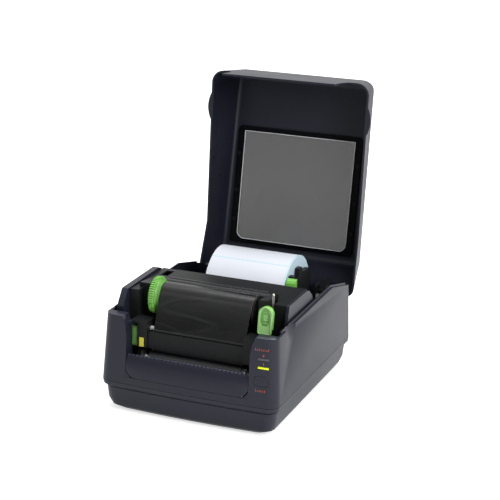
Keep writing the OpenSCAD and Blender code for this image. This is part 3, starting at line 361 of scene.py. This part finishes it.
def filmFinish():
    # thin glossy film with long creases across its width; the creases are also drawn lighter, a
    # painted highlight
    s = Shader("ribbonFilm")
    where = s.place()
    long = s.noise(where, 30, 3, 0.5, stretch=(0.35, 1, 1))
    fine = s.noise(where, 420, 2, 0.5, stretch=(0.15, 1, 1))
    wander = s.noise(where, 9, 2, 0.5, stretch=(0.6, 1, 1.6))
    crease = s.spread(abs(wander - 0.5), 0.0, 0.02, 1, 0)
    return s.finish({
        "Base Color": s.blend(crease * 0.25, filmLook["colour"], filmLook["creaseHighlight"]),
        "Roughness": s.spread(long, 0.3, 0.7, *filmLook["rough"]), "Specular IOR Level": 0.5,
        "Normal": s.bump(long * 0.8 + fine * 0.12 + crease * 0.25, filmLook["waveHeight"], 0.5)})


windowLook = {
    "colours": (rgb(46, 47, 49), rgb(52, 53, 55)),
    "rough": (0.22, 0.3),
    "alpha": (0.765, 0.785),    # of one face, and the sheet has two
}


def windowFinish():
    s = Shader("windowSheet")
    haze = s.noise(s.place(), 8, 3, 0.5)
    clear, smoky = windowLook["colours"]
    return s.finish({
        "Base Color": s.ramp(haze, [(0.3, clear), (0.7, smoky)]),
        "Roughness": s.spread(haze, 0.3, 0.7, *windowLook["rough"]),
        "Alpha": s.spread(haze, 0.3, 0.7, *windowLook["alpha"])})


lensLook = {
    "split": (0.090, 0.091),    # heights between the lit lens below and the dark one
    "dark": rgb(62, 63, 70),
    "lit": rgb(228, 236, 20),
    "glow": rgb(200, 220, 10),
    "glowStrength": 0.16,
}


def lensFinish():
    s = Shader("litLens")
    low = s.spread(s.parts(s.place())[2], *lensLook["split"], 1, 0)
    soft = s.noise(s.place(), 300)
    return s.finish({
        "Base Color": s.blend(low, lensLook["dark"], lensLook["lit"]),
        "Roughness": s.spread(soft, 0.3, 0.7, 0.25, 0.35),
        "Emission Color": s.blend(low, rgb(0, 0, 0), lensLook["glow"]),
        "Emission Strength": lensLook["glowStrength"]})


roll = {
    "centre": (0.080, 0.101),   # y and z of its axis
    "radius": 0.0525,
    "gapTurns": (0.5, -0.85, 1.85),   # where a gap between two labels runs across, in radians
    "gapHalf": 0.0012,
    "linerEdge": 0.0503,        # x beyond which the liner shows
    "middle": 0.001,            # x of its middle
    "faces": (0.0517, 0.05195),  # distances from the middle where its end faces start
    "layer": 0.0011,            # thickness of one shaded layer on an end face
    "whites": (rgb(214, 218, 226), rgb(221, 225, 233)),
    "blue": rgb(188, 214, 226),
}


def paperFinish():
    s = Shader("labelPaper")
    where = s.place()
    x, y, z = s.parts(where)
    fibre = s.noise(where, 900, 3, 0.6)
    away = z - roll["centre"][1]
    along = y - roll["centre"][0]
    turn = (0 - along).angleOver(away)     # 0 at the top, growing towards the front
    across = (away * away + along * along).root()
    gap = 0
    for at in roll["gapTurns"]:
        gap = s.spread(abs(turn - at) * roll["radius"], roll["gapHalf"] * 0.6,
                       roll["gapHalf"], 1, 0).most(gap)
    liner = s.spread(x, roll["linerEdge"], roll["linerEdge"] + 0.0004)
    face = s.spread(abs(x - roll["middle"]), *roll["faces"])
    layers = s.spread((across * 2 * math.pi / roll["layer"]).sine(), -1, 1, 0.0, 0.35)
    white = s.ramp(fibre, [(0.3, roll["whites"][0]), (0.7, roll["whites"][1])])
    blue = roll["blue"]
    colour = s.blend(gap.most(liner * 0.8), white, blue)
    colour = s.blend(face * (layers + 0.25), colour, blue)
    return s.finish({"Base Color": colour, "Roughness": s.spread(fibre, 0.3, 0.7, 0.5, 0.6),
                     "Normal": s.bump(fibre * 0.1 - gap, 0.00008)})


materials = {name: plainFinish(name) for name in finishes}
materials.update(steel=steelFinish(), film=filmFinish(), paper=paperFinish(),
                 window=windowFinish(), lens=lensFinish())
print("materials ready")

# finish of each slot of the solids, and of the nodes that differ from their slot
slotFinish = {
    "case_plastic": "casePlastic", "inner_plastic": "innerPlastic", "black_parts": "blackParts",
    "foot_rubber": "footRubber", "green_plastic": "greenPlastic", "steel": "steel",
    "head_ceramic": "headCeramic", "aluminium": "steel", "window_glass": "window",
    "lens": "lens", "board": "boardGreen", "paper": "paper", "card": "cardBrown",
    "ribbon_film": "film", "gear_plastic": "gearPlastic", "brass": "steel",
    "yellow_label": "yellowTab"}
nodeFinish = {
    "left_latch": "paintedShadeGreen", "takeup_wheel": "blackParts", "platen_rubber": "rollerRubber",
    "tear_bar": "darkSteel", "leaf_spring": "satinSteel", "guide_rod": "satinSteel",
    "platen_shaft": "satinSteel"}
slotOf = {part["node"]: part["material_slot"] for part in frame["record"]["subparts"]}
slotOf.update(bezel_screws="black_parts", platen_gear="black_parts")
bodyOf = {node: body for body, nodes in frame["record"]["behaviour"]["bodies"].items()
          for node in nodes}


dressed = set()     # the nodes that a piece already stands for


def addPiece(name, mesh, material, body, replaced=()):
    piece = bpy.data.objects.new(name, mesh)
    bpy.context.scene.collection.objects.link(piece)
    mesh.materials.clear()
    mesh.materials.append(materials[material])
    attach(piece, body)
    if replaced:
        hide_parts(*replaced)
        dressed.update(replaced)
    return piece


def smoothByAngle(mesh, degrees):
    work = bmesh.new()
    work.from_mesh(mesh)
    for face in work.faces:
        face.smooth = True
    limit = math.radians(degrees)
    for edge in work.edges:
        edge.smooth = len(edge.link_faces) == 2 and edge.calc_face_angle(0) < limit
    work.to_mesh(mesh)
    work.free()


def bevelled(piece, width, angle):
    bevel = piece.modifiers.new("softEdge", "BEVEL")
    bevel.width, bevel.segments = width, 2
    bevel.limit_method, bevel.angle_limit = "ANGLE", math.radians(angle)
    bevel.use_clamp_overlap = True
    bevel.harden_normals = True
    return piece


soft = {
    "width": 0.0003,      # metres, of an edge where nothing else is asked for
    "weld": 0.00002,      # points closer than this become one
    "flat": 0.6,          # degrees between faces that become one
    "angle": 28,          # degrees from which an edge is softened
}


def softCopy(node, width=soft["width"], change=None):
    # a CAD solid with its edges softened, and small changes made by change(work)
    mesh = frame["nodes"][node].data.copy()
    mesh.name = node + "Soft"
    work = bmesh.new()
    work.from_mesh(mesh)
    bmesh.ops.remove_doubles(work, verts=work.verts, dist=soft["weld"])
    bmesh.ops.dissolve_limit(work, angle_limit=math.radians(soft["flat"]), verts=work.verts,
                             edges=work.edges)
    if change:
        change(work)
    work.to_mesh(mesh)
    work.free()
    smoothByAngle(mesh, soft["angle"])
    finish = nodeFinish.get(node, slotFinish[slotOf[node]])
    piece = addPiece(node + "Soft", mesh, finish, bodyOf[node], [node])
    return bevelled(piece, width, soft["angle"])


class Maker:
    # gathers closed solids into one mesh, in millimetres
    axes = {"x": (1, 2, 0), "y": (0, 2, 1), "z": (0, 1, 2)}

    def __init__(self):
        self.work = bmesh.new()

    def point(self, where, matrix=None):
        where = matrix @ Vector(where) if matrix else Vector(where)
        return self.work.verts.new((where * millimetre) - Vector((0, caseBack, 0)))

    def prism(self, outline, low, high, along="x", matrix=None):
        first, second, third = self.axes[along]
        rings = []
        for level in (low, high):
            ring = []
            for a, b in outline:
                where = [0, 0, 0]
                where[first], where[second], where[third] = a, b, level
                ring.append(self.point(where, matrix))
            rings.append(ring)
        return self.capped(rings)

    def skin(self, rings):
        for one, two in zip(rings, rings[1:]):
            for i in range(len(one)):
                j = (i + 1) % len(one)
                self.work.faces.new((one[i], one[j], two[j], two[i]))
        return self

    def capped(self, rings):
        self.skin(rings)
        self.work.faces.new(rings[0])
        self.work.faces.new(rings[-1])
        return self

    def ring(self, outer, inner, low, high, matrix=None):
        # a flat frame between two outlines that have as many points each
        rings = [[self.point((a, b, level), matrix) for a, b in outline]
                 for outline, level in ((outer, low), (outer, high), (inner, high), (inner, low))]
        return self.skin(rings + rings[:1])

    def block(self, x0, x1, y0, y1, z0, z1):
        return self.prism([(y0, z0), (y1, z0), (y1, z1), (y0, z1)], x0, x1)

    def lathe(self, profile, y, z, steps=96):
        # turns a closed list of (x, radius) points about a line along X
        rings = [[self.point((x, y + radius * math.cos(turn), z + radius * math.sin(turn)))
                  for x, radius in profile]
                 for turn in (2 * math.pi * i / steps for i in range(steps))]
        return self.skin(rings + rings[:1])

    def tube(self, points, radius, sides=10):
        # a closed rod with round ends of the same radius through the points
        points = [Vector(p) for p in points]
        layers = []
        for i, p in enumerate(points):
            along = (points[min(i + 1, len(points) - 1)] - points[max(i - 1, 0)]).normalized()
            side = along.cross(Vector((0.1, 0.2, 1))).normalized()
            other = side.cross(along)
            end = i in (0, len(points) - 1)
            layers.append([self.point(p + (side * math.cos(t) + other * math.sin(t))
                                      * radius * (0.35 if end else 1))
                           for t in (2 * math.pi * k / sides for k in range(sides))])
        return self.capped(layers)

    def relief(self, outline, height, centre, rings, back, matrix):
        # a plate whose front rises by height(a, b, gap), where gap is the way to its edge
        def gapTo(a, b):
            best = 1e9
            for (p, q), (r, s) in zip(outline, outline[1:] + outline[:1]):
                dx, dy = r - p, s - q
                t = max(0, min(1, ((a - p) * dx + (b - q) * dy) / (dx * dx + dy * dy + 1e-12)))
                best = min(best, math.hypot(a - p - t * dx, b - q - t * dy))
            return best
        layers = [[self.point((a, b, back), matrix) for a, b in outline]]
        for k in range(rings):
            share = 1 - k / rings
            ring = []
            for a, b in outline:
                u = centre[0] + (a - centre[0]) * share
                v = centre[1] + (b - centre[1]) * share
                ring.append(self.point((u, v, height(u, v, gapTo(u, v))), matrix))
            layers.append(ring)
        self.skin(layers)
        tip = self.point((*centre, height(*centre, gapTo(*centre))), matrix)
        last = layers[-1]
        for i in range(len(last)):
            self.work.faces.new((last[i], last[(i + 1) % len(last)], tip))
        self.work.faces.new(layers[0])
        return self

    def piece(self, name, material, body, slot, replaced=(), bevel=0.0, angle=30):
        bmesh.ops.recalc_face_normals(self.work, faces=self.work.faces)
        mesh = bpy.data.meshes.new(name)
        self.work.to_mesh(mesh)
        self.work.free()
        smoothByAngle(mesh, angle)
        made = addPiece(name, mesh, material, body, replaced)
        return bevelled(made, bevel * millimetre, angle) if bevel else made


def arc(x, y, radius, start, end, count=8):
    return [(x + radius * math.cos(math.radians(start + (end - start) * i / count)),
             y + radius * math.sin(math.radians(start + (end - start) * i / count)))
            for i in range(count + 1)]


def roundedRect(x0, x1, y0, y1, low, high=None, count=8):
    # corner radius low at y0 and high at y1
    high = low if high is None else high
    return (arc(x0 + low, y0 + low, low, 180, 270, count)
            + arc(x1 - low, y0 + low, low, 270, 360, count)
            + arc(x1 - high, y1 - high, high, 0, 90, count)
            + arc(x0 + high, y1 - high, high, 90, 180, count))


def step(value, low, high):
    t = max(0, min(1, (value - low) / (high - low)))
    return t * t * (3 - 2 * t)


toCase = Vector((0, caseBack, 0))


def partOf(keep):
    # a change for softCopy that keeps the separate solids whose middle passes keep
    def change(work):
        left, gone = set(work.verts), []
        while left:
            found, todo = [], [left.pop()]
            while todo:
                vert = todo.pop()
                found.append(vert)
                for edge in vert.link_edges:
                    other = edge.other_vert(vert)
                    if other in left:
                        left.remove(other)
                        todo.append(other)
            middle = sum((v.co for v in found), Vector()) / len(found)
            if not keep((middle + toCase) / millimetre):
                gone += found
        bmesh.ops.delete(work, geom=gone, context="VERTS")
    return change


solidTrees = {}


def meet(node, start, way):
    # where a line first meets a CAD solid, in millimetres
    if node not in solidTrees:
        mesh = frame["nodes"][node].data
        solidTrees[node] = BVHTree.FromPolygons([v.co for v in mesh.vertices],
                                                [p.vertices for p in mesh.polygons])
    start = Vector(start) * millimetre - toCase
    hit = solidTrees[node].ray_cast(start, Vector(way))[0]
    return (hit + toCase) / millimetre


outside = 900     # a distance from which every solid is seen whole


def frontOf(node, x, z):
    return meet(node, (x, -outside, z), (0, 1, 0)).y


def topOf(node, x, y):
    return meet(node, (x, y, outside), (0, 0, -1)).z


print("building the case")

cover = {
    "softEdge": 0.0006,
    "front": -133.71,         # only what lies in front of this rolls back
    "creaseHeight": 66.0,     # where it starts to roll back
    "rollBack": 3.0,
    "ribs": 15,               # on each side of the middle one
    "ribPitch": 4.9,
    "ribWidth": 3.7,
    "ribOutline": [(-134.4, 72.2), (-133.9, 74.7), (-131.9, 75.3), (-131.2, 72.9)],  # y and z
    "gap": (-75.2, 75.2, -133.0, -131.4, 73.0, 74.6),
}


def rollCoverTop(work):
    level = cover["creaseHeight"] * millimetre
    front = cover["front"] * millimetre - caseBack
    parts = list(work.verts) + list(work.edges) + list(work.faces)
    bmesh.ops.bisect_plane(work, geom=parts, plane_co=(0, 0, level), plane_no=(0, 0, 1))
    top = max(v.co.z for v in work.verts)
    for v in work.verts:
        if v.co.z > level + 0.2 * millimetre and v.co.y < front:
            v.co.y += cover["rollBack"] * millimetre * (v.co.z - level) / (top - level)


caseEdge = 0.0008
softCopy("case_shell", caseEdge)
softCopy("bottom_tray", caseEdge)
softCopy("front_cover", cover["softEdge"], change=rollCoverTop)

# painted light: the ribs are a lighter copy of the case plastic
ribs = Maker()
for i in range(-cover["ribs"], cover["ribs"] + 1):
    x = i * cover["ribPitch"]
    ribs.prism(cover["ribOutline"], x - cover["ribWidth"] / 2, x + cover["ribWidth"] / 2)
ribs.piece("coverRibs", "ribLitPlastic", "base", "case_plastic", bevel=0.35)
# painted shade: a black block fills the gap behind the ribs
Maker().block(*cover["gap"]).piece("coverGapShade", "blackParts", "base", "black_parts", bevel=0.2)

mouth = {
    "corner": (64, 60),       # x and z of the middle of the lower corner's curve
    "radius": 12.6,
    "edge": 77.0,
    "foot": 47.0,
    "depth": (0.15, 3.0),     # behind the shell's front
    "frontAt": 53,            # height at which that front is measured
}
corners = Maker()
for side in (-1, 1):
    x, z = mouth["corner"]
    edge = side * mouth["edge"]
    outline = arc(side * x, z, mouth["radius"], 270, 270 + side * 90)
    outline += [(edge, z), (edge, mouth["foot"]), (side * x, mouth["foot"])]
    y = frontOf("case_shell", edge, mouth["frontAt"])
    near, far = mouth["depth"]
    corners.prism(outline, y + near, y + far, "y")
corners.piece("mouthCorners", "casePlastic", "base", "case_plastic", bevel=0.3)

# rounded lips along the tops of the two front pillars
pillars = {
    "from": 79.6,
    "across": 24.0,
    "points": 20,
    "lowest": 100,
    "beads": ((1.5, 0.75), (5.2, 0.7)),   # how far behind the front, and radius
    "proud": 0.34,
    "frontAt": 112,           # height at which the front is measured
}
beads = Maker()
for side in (-1, 1):
    for back, radius in pillars["beads"]:
        path = []
        for i in range(pillars["points"]):
            x = side * (pillars["from"] + pillars["across"] * i / (pillars["points"] - 1))
            y = frontOf("case_shell", x, pillars["frontAt"]) + back
            z = topOf("case_shell", x, y)
            if z > pillars["lowest"]:
                path.append((x, y, z - radius + pillars["proud"]))
        beads.tube(path, radius)
# painted highlight: the beads take the lighter caseEdge colour
beads.piece("pillarBeads", "caseEdge", "base", "case_plastic", angle=70)

lenses = {
    "softEdge": 0.0002,
    "split": 91.4,            # height between the two lenses
    "lower": (86.4, 0.62),    # middle height, and the share of its height that is kept
    "upper": (96.4, 0.85),
}


def slimLens(work):
    for v in work.verts:
        middle, share = lenses["lower" if v.co.z < lenses["split"] * millimetre else "upper"]
        v.co.z = middle * millimetre + (v.co.z - middle * millimetre) * share


softCopy("status_lenses", lenses["softEdge"], change=slimLens)

print("building the panel")

panel = {
    "marks": "orangeInk",
    "tickRow": (82.4, 96.8, 106.4, 108.6, 7),   # x from, x to, z from, z to, count
    "lowerRow": (84.9, 95.2, 58.6, 60.6, 5),
    "shortTick": 0.7,         # height of every second tick against its neighbours
    "stroke": 0.42,
    "tickStroke": 0.588,
    "lift": (-0.12, 0.3),     # in front of the shell and into it
    "numerals": (("2", 91.9, 101.1), ("1", 92.3, 91.0)),   # which, x and z
}
numerals = {   # strokes about the middle of each
    "1": [[(-0.5, 0.8), (0.1, 1.3)], [(0.1, 1.3), (0.1, -1.3)]],
    "2": [[(-0.75, 0.8), (-0.3, 1.25)], [(-0.3, 1.25), (0.45, 1.2)], [(0.45, 1.2), (0.7, 0.6)],
          [(0.7, 0.6), (-0.75, -1.2)], [(-0.75, -1.2), (0.8, -1.2)]],
}


def inkStroke(maker, start, end, width):
    along = (Vector(end) - Vector(start)).normalized() * width / 2
    side = Vector((-along.y, along.x))
    first, last = Vector(start) - along, Vector(end) + along
    outline = (first + side, last + side, last - side, first - side)
    maker.capped([[maker.point((x, frontOf("case_shell", x, z) + lift, z)) for x, z in outline]
                  for lift in panel["lift"]])


marks = Maker()
for key in ("tickRow", "lowerRow"):
    x0, x1, z0, z1, count = panel[key]
    for i in range(count):
        x = x0 + (x1 - x0) * i / (count - 1)
        tall = (z1 - z0) * (1.0 if i % 2 == 0 else panel["shortTick"])
        inkStroke(marks, (x, z0), (x, z0 + tall), panel["tickStroke"])
for digit, x, z in panel["numerals"]:
    for start, end in numerals[digit]:
        inkStroke(marks, (x + start[0], z + start[1]), (x + end[0], z + end[1]), panel["stroke"])
marks.piece("panelMarks", panel["marks"], "base", "case_plastic")

print("building the module")

lever = {
    "softEdge": 0.0005,
    "pivot": (79.5, -99.5, 92.0),
    "lean": 7,
    "halfWidth": 8.4,
    "foot": 20.6,
    "top": 53.0,
    "thick": 5.0,
    "face": 1.9,                # how far the face stands above the solid lever
    "corners": (3.0, 8.38, 22),  # radius below, radius above, points on each
    "rim": 0.9,
    "rimRise": (0.0, 0.7),      # distances from the edge over which the rim rises
    "rimFall": (1.3, 2.0),      # and falls
    "recess": (6.0, 11.0),      # half width and half height of the thumb recess
    "recessMiddle": 40.2,
    "recessDepth": 1.7,
    "recessWall": (0.86, 1.0),  # shares of the recess between which its side slopes
    "dishShare": 0.97,          # size of the dish against the recess
    "dishPoints": 96,
    "dishEdge": 0.3,            # how far its edge lies below the face
    "dishDepth": 1.5,
    "dishSlope": (0.3, 0.95),
    "backs": (4.6, 5.0, 4.4),   # where the face, the dish and the ridges end inside
    "ridges": 5,
    "ridgeTop": 6.0,            # from the middle of the recess up to the first ridge
    "ridgePitch": 3.0,
    "ridge": (3.1, 0.65, 1.1),  # half width, half height and how far it stands up
    "ridgeRise": (0.0, 0.45),
}


def leverPlace():
    tilt = math.radians(90 - lever["lean"])
    x, y, z = lever["pivot"]
    return Matrix(((1, 0, 0, x),
                   (0, math.cos(tilt), -math.sin(tilt), y),
                   (0, math.sin(tilt), math.cos(tilt), z),
                   (0, 0, 0, 1)))


def ovalAt(a, b):
    return math.hypot(a / lever["recess"][0], (b - lever["recessMiddle"]) / lever["recess"][1])


def leverFace(a, b, gap):
    rim = step(gap, *lever["rimRise"]) * (1 - step(gap, *lever["rimFall"])) * lever["rim"]
    hollow = lever["recessDepth"] * (1 - step(ovalAt(a, b), *lever["recessWall"]))
    return lever["thick"] + lever["face"] + rim - hollow


def leverDish(a, b, gap):
    hollow = lever["dishDepth"] * (1 - step(ovalAt(a, b), *lever["dishSlope"]))
    return lever["thick"] + lever["face"] - lever["dishEdge"] - hollow


def leverBar(a, b, gap):
    return leverDish(a, b, gap) + lever["ridge"][2] * step(gap, *lever["ridgeRise"])


softCopy("release_lever", lever["softEdge"])
half = lever["halfWidth"]
middle = (0, lever["recessMiddle"])
faceBack, dishBack, ridgeBack = lever["backs"]
# painted light: the face and the ridges below are a paler, lit green
Maker().relief(roundedRect(-half, half, lever["foot"], lever["top"], *lever["corners"]),
               leverFace, middle, rings=44, back=faceBack, matrix=leverPlace()).piece(
    "leverFace", "leverLitGreen", "latch", "green_plastic", angle=50)
wide, tall = (lever["dishShare"] * size for size in lever["recess"])
count = lever["dishPoints"]
oval = [(wide * math.cos(turn), middle[1] + tall * math.sin(turn))
        for turn in (2 * math.pi * k / count for k in range(count))]
# painted shade: the dish is a darker green
Maker().relief(oval, leverDish, middle, rings=52, back=dishBack, matrix=leverPlace()).piece(
    "leverDish", "leverPaintedShade", "latch", "green_plastic", angle=40)
bars = Maker()
wide, tall = lever["ridge"][:2]
for k in range(lever["ridges"]):
    b = middle[1] + lever["ridgeTop"] - lever["ridgePitch"] * k
    bars.relief(roundedRect(-wide, wide, b - tall, b + tall, 0.6, 0.6, 6), leverBar, (0, b),
                rings=5, back=ridgeBack, matrix=leverPlace())
bars.piece("leverRidges", "leverLitGreen", "latch", "green_plastic", angle=40)

latch = {
    "softEdge": 0.0005,
    "front": -115.35,
    "ridges": 4,
    "ridgeFrom": -77.9,
    "ridgePitch": 1.6,
    "ridgeRadius": 0.45,
    "heights": (81.5, 101.5),
}
# painted shade: the latch takes a darker, greyer green than its ridges
softCopy("left_latch", latch["softEdge"])
latchRidges = Maker()
for i in range(latch["ridges"]):
    x = latch["ridgeFrom"] + i * latch["ridgePitch"]
    latchRidges.prism(arc(x, latch["front"], latch["ridgeRadius"], 360, 180, 6),
                      *latch["heights"], "z")
latchRidges.piece("latchRidges", "greenPlastic", "latch", "green_plastic")

wheel = {
    "centre": (-80.0, 133.0),
    "ribs": 48,
    "ribTurn": 4.3,         # degrees that one rib takes
    "radius": 22,
    # x and radius of its sections: ring, step, dish and the collar inside the core
    "outline": [(-66.2, 4.0), (-66.2, 20.1), (-65.9, 20.3), (-60.1, 20.3), (-59.8, 20.1),
                (-59.4, 19.2), (-58.2, 18.8), (-57.4, 17.6), (-57.0, 17.0), (-55.4, 17.2),
                (-54.6, 17.4), (-54.25, 17.0), (-54.2, 12.3), (-42.0, 12.3), (-42.0, 4.0)],
    "stub": [(-87.0, 0.02), (-87.0, 2.9), (-66.0, 2.9), (-66.0, 4.2), (-42.1, 4.2),
             (-42.1, 0.02)],
    "rib": [(-66.2, 19.0), (-66.2, 21.2), (-65.4, 22.0), (-60.6, 22.0), (-59.8, 21.2),
            (-59.8, 19.0)],
    "floor": [(-66.1, 20.0), (-66.1, 20.5), (-59.9, 20.5), (-59.9, 20.0)],
}
# painted shade: the wheel's dish is a darker green than its ribs
dish = Maker()
dish.lathe(wheel["outline"], *wheel["centre"], steps=192)
dish.lathe(wheel["stub"], *wheel["centre"], steps=40)
dish.piece("takeupWheel", "wheelShadedGreen", "takeup", "green_plastic", ["takeup_wheel"], angle=40)
grip = Maker()
ribHalf = math.radians(wheel["ribTurn"]) * wheel["radius"] / 2
for i in range(wheel["ribs"]):
    around = Matrix.Translation((0, *wheel["centre"])) @ Matrix.Rotation(
        2 * math.pi * i / wheel["ribs"], 4, "X")
    grip.prism(wheel["rib"], -ribHalf, ribHalf, "y", around)
grip.piece("takeupGrip", "greenPlastic", "takeup", "green_plastic", bevel=0.25)
# painted shade: the floor between the ribs is a darker green
Maker().lathe(wheel["floor"], *wheel["centre"]).piece(
    "takeupGripFloorShade", "paintedShadeGreen", "takeup", "green_plastic")
# the node also holds the black flange at the roll's other end
blackFlange = softCopy("takeup_wheel", change=partOf(lambda p: p.x > 0))
blackFlange.name = "takeupEndFlange"

moduleTop = {
    "lipFront": -53.4,
    "height": 141.4,
    "across": (-70.3, 64.9),
    # y behind the lip's front and z above the top
    "lip": [(0, -3.4), (0, 0), (1.1, 1.3), (2.4, 0), (4.6, 0), (5.6, 1.6), (7.0, 1.6), (7.8, 0.5),
            (7.8, -3.4)],
    "backRidge": [(13.6, 0), (14.2, 1.5), (15.4, 1.5), (16.0, 0)],
    "backAcross": (-66.0, 60.0),
    "shadeGrooves": ((-70.0, 64.6, 1.5, 5.2, -0.3, 0.2), (-66.0, 60.0, 9.8, 13.2, -0.6, 0.35)),
    "dashes": 9,
    "dashFrom": 2.0,
    "dashPitch": 6.0,
    # x, y and z of the first dash of each row
    "rows": ((0, 3.2, 2.4, 3.6, -0.2, 0.45), (4.0, 6.2, 10.0, 11.4, 0.2, 1.1)),
}
lipFront, height = moduleTop["lipFront"], moduleTop["height"]


def onModule(maker, x0, x1, y0, y1, z0, z1):
    maker.block(x0, x1, lipFront + y0, lipFront + y1, height + z0, height + z1)


# painted highlight: the lips and dashes take a lighter, glossier black
lip = Maker()
for key, across in (("lip", "across"), ("backRidge", "backAcross")):
    lip.prism([(lipFront + y, height + z) for y, z in moduleTop[key]], *moduleTop[across])
for i in range(moduleTop["dashes"]):
    x = moduleTop["dashFrom"] + i * moduleTop["dashPitch"]
    for x0, x1, *rest in moduleTop["rows"]:
        onModule(lip, x + x0, x + x1, *rest)
lip.piece("moduleTopLip", "ridgeGlossHighlight", "head_module", "inner_plastic", bevel=0.25)
# painted shade: near-black strips on the module's top stand for the shade in its grooves
shadeGrooves = Maker()
for groove in moduleTop["shadeGrooves"]:
    onModule(shadeGrooves, *groove)
shadeGrooves.piece("moduleTopGrooveShade", "bezelGloss", "head_module", "inner_plastic", bevel=0.1)

hook = {
    "outline": [(75.0, 141.8), (75.0, 148.8), (79.4, 148.8), (79.4, 141.8), (77.9, 141.8),
                (77.9, 147.0), (76.3, 147.0), (76.3, 141.8)],   # x and z
    "depth": (-62.5, -59.0),
}
Maker().prism(hook["outline"], *hook["depth"], "y").piece(
    "springHook", "blackParts", "head_module", "inner_plastic", bevel=0.3)

print("building the lid")

lid = {
    "hinge": (132.8, 95.1),
    "angle": 93.4,
    "slope": 4.86,
    "top": (-118, 187.5),
    "wall": 2.6,
    "bezel": (87, -57.4, 101, 2.4),     # half width, front, back, thickness
    "bezelCorner": 6.0,
    "bezelProud": 0.02,
    "pane": (77.6, -51.0, 95.3),        # half width, front, back
    "paneCorners": (1.0, 10.0),         # radius at the front and at the back
    "lipWidth": 2.2,
    "lipCorners": (2.4, 11.5),
    "lipDepth": (-0.7, 0.3),            # from the bezel's lower face
    "rimWidth": 0.8,
    "rimCorners": (0.6, 9.4),
    "rimDepth": (-0.25, 0.4),
    "ejectorMarks": (-27, 27),
    "markRadius": 4.5,
    "markHeight": 92,
    "markDepth": (-133.6, -132.3),
}


def turnAbout(y, z, degrees):
    return (Matrix.Translation((0, y, z)) @ Matrix.Rotation(math.radians(degrees), 4, "X")
            @ Matrix.Translation((0, -y, -z)))


opened = turnAbout(*lid["hinge"], -lid["angle"])
onTop = (opened @ Matrix.Translation((0, *lid["top"]))
         @ Matrix.Rotation(math.radians(-lid["slope"]), 4, "X")
         @ Matrix.Translation((0, -lid["top"][0], 0)))
softCopy("lid_shell", caseEdge)
wide, near, far, thick = lid["bezel"]
half, paneNear, paneFar = lid["pane"]
low = -lid["wall"] - thick


def paneOutline(grow, corners):
    return roundedRect(-half - grow, half + grow, paneNear - grow, paneFar + grow, *corners)


opening = paneOutline(0, lid["paneCorners"])
Maker().ring(roundedRect(-wide, wide, near, far, lid["bezelCorner"]), opening, low,
             -lid["wall"] - lid["bezelProud"], onTop).piece(
    "windowBezel", "bezelGloss", "lid", "inner_plastic", ["window_bezel"], bevel=0.5)
Maker().ring(paneOutline(lid["lipWidth"], lid["lipCorners"]), opening,
             *(low + depth for depth in lid["lipDepth"]), onTop).piece(
    "windowLip", "bezelGloss", "lid", "inner_plastic", bevel=0.35)
# painted highlight: a near-white ring round the pane stands in for the glint along its edge
Maker().ring(opening, paneOutline(-lid["rimWidth"], lid["rimCorners"]),
             *(low + depth for depth in lid["rimDepth"]), onTop).piece(
    "paneEdgeHighlight", "paneEdgeHighlight", "lid", "inner_plastic", bevel=0.15)
pins = Maker()
for x in lid["ejectorMarks"]:
    pins.prism(arc(x, lid["markHeight"], lid["markRadius"], 0, 345, 23), *lid["markDepth"], "y",
               opened)
pins.piece("ejectorMarks", "innerPlastic", "lid", "inner_plastic", bevel=0.15)

print("building the rest")

for node in frame["nodes"]:
    if node not in dressed:
        softCopy(node)
print("pieces ready")
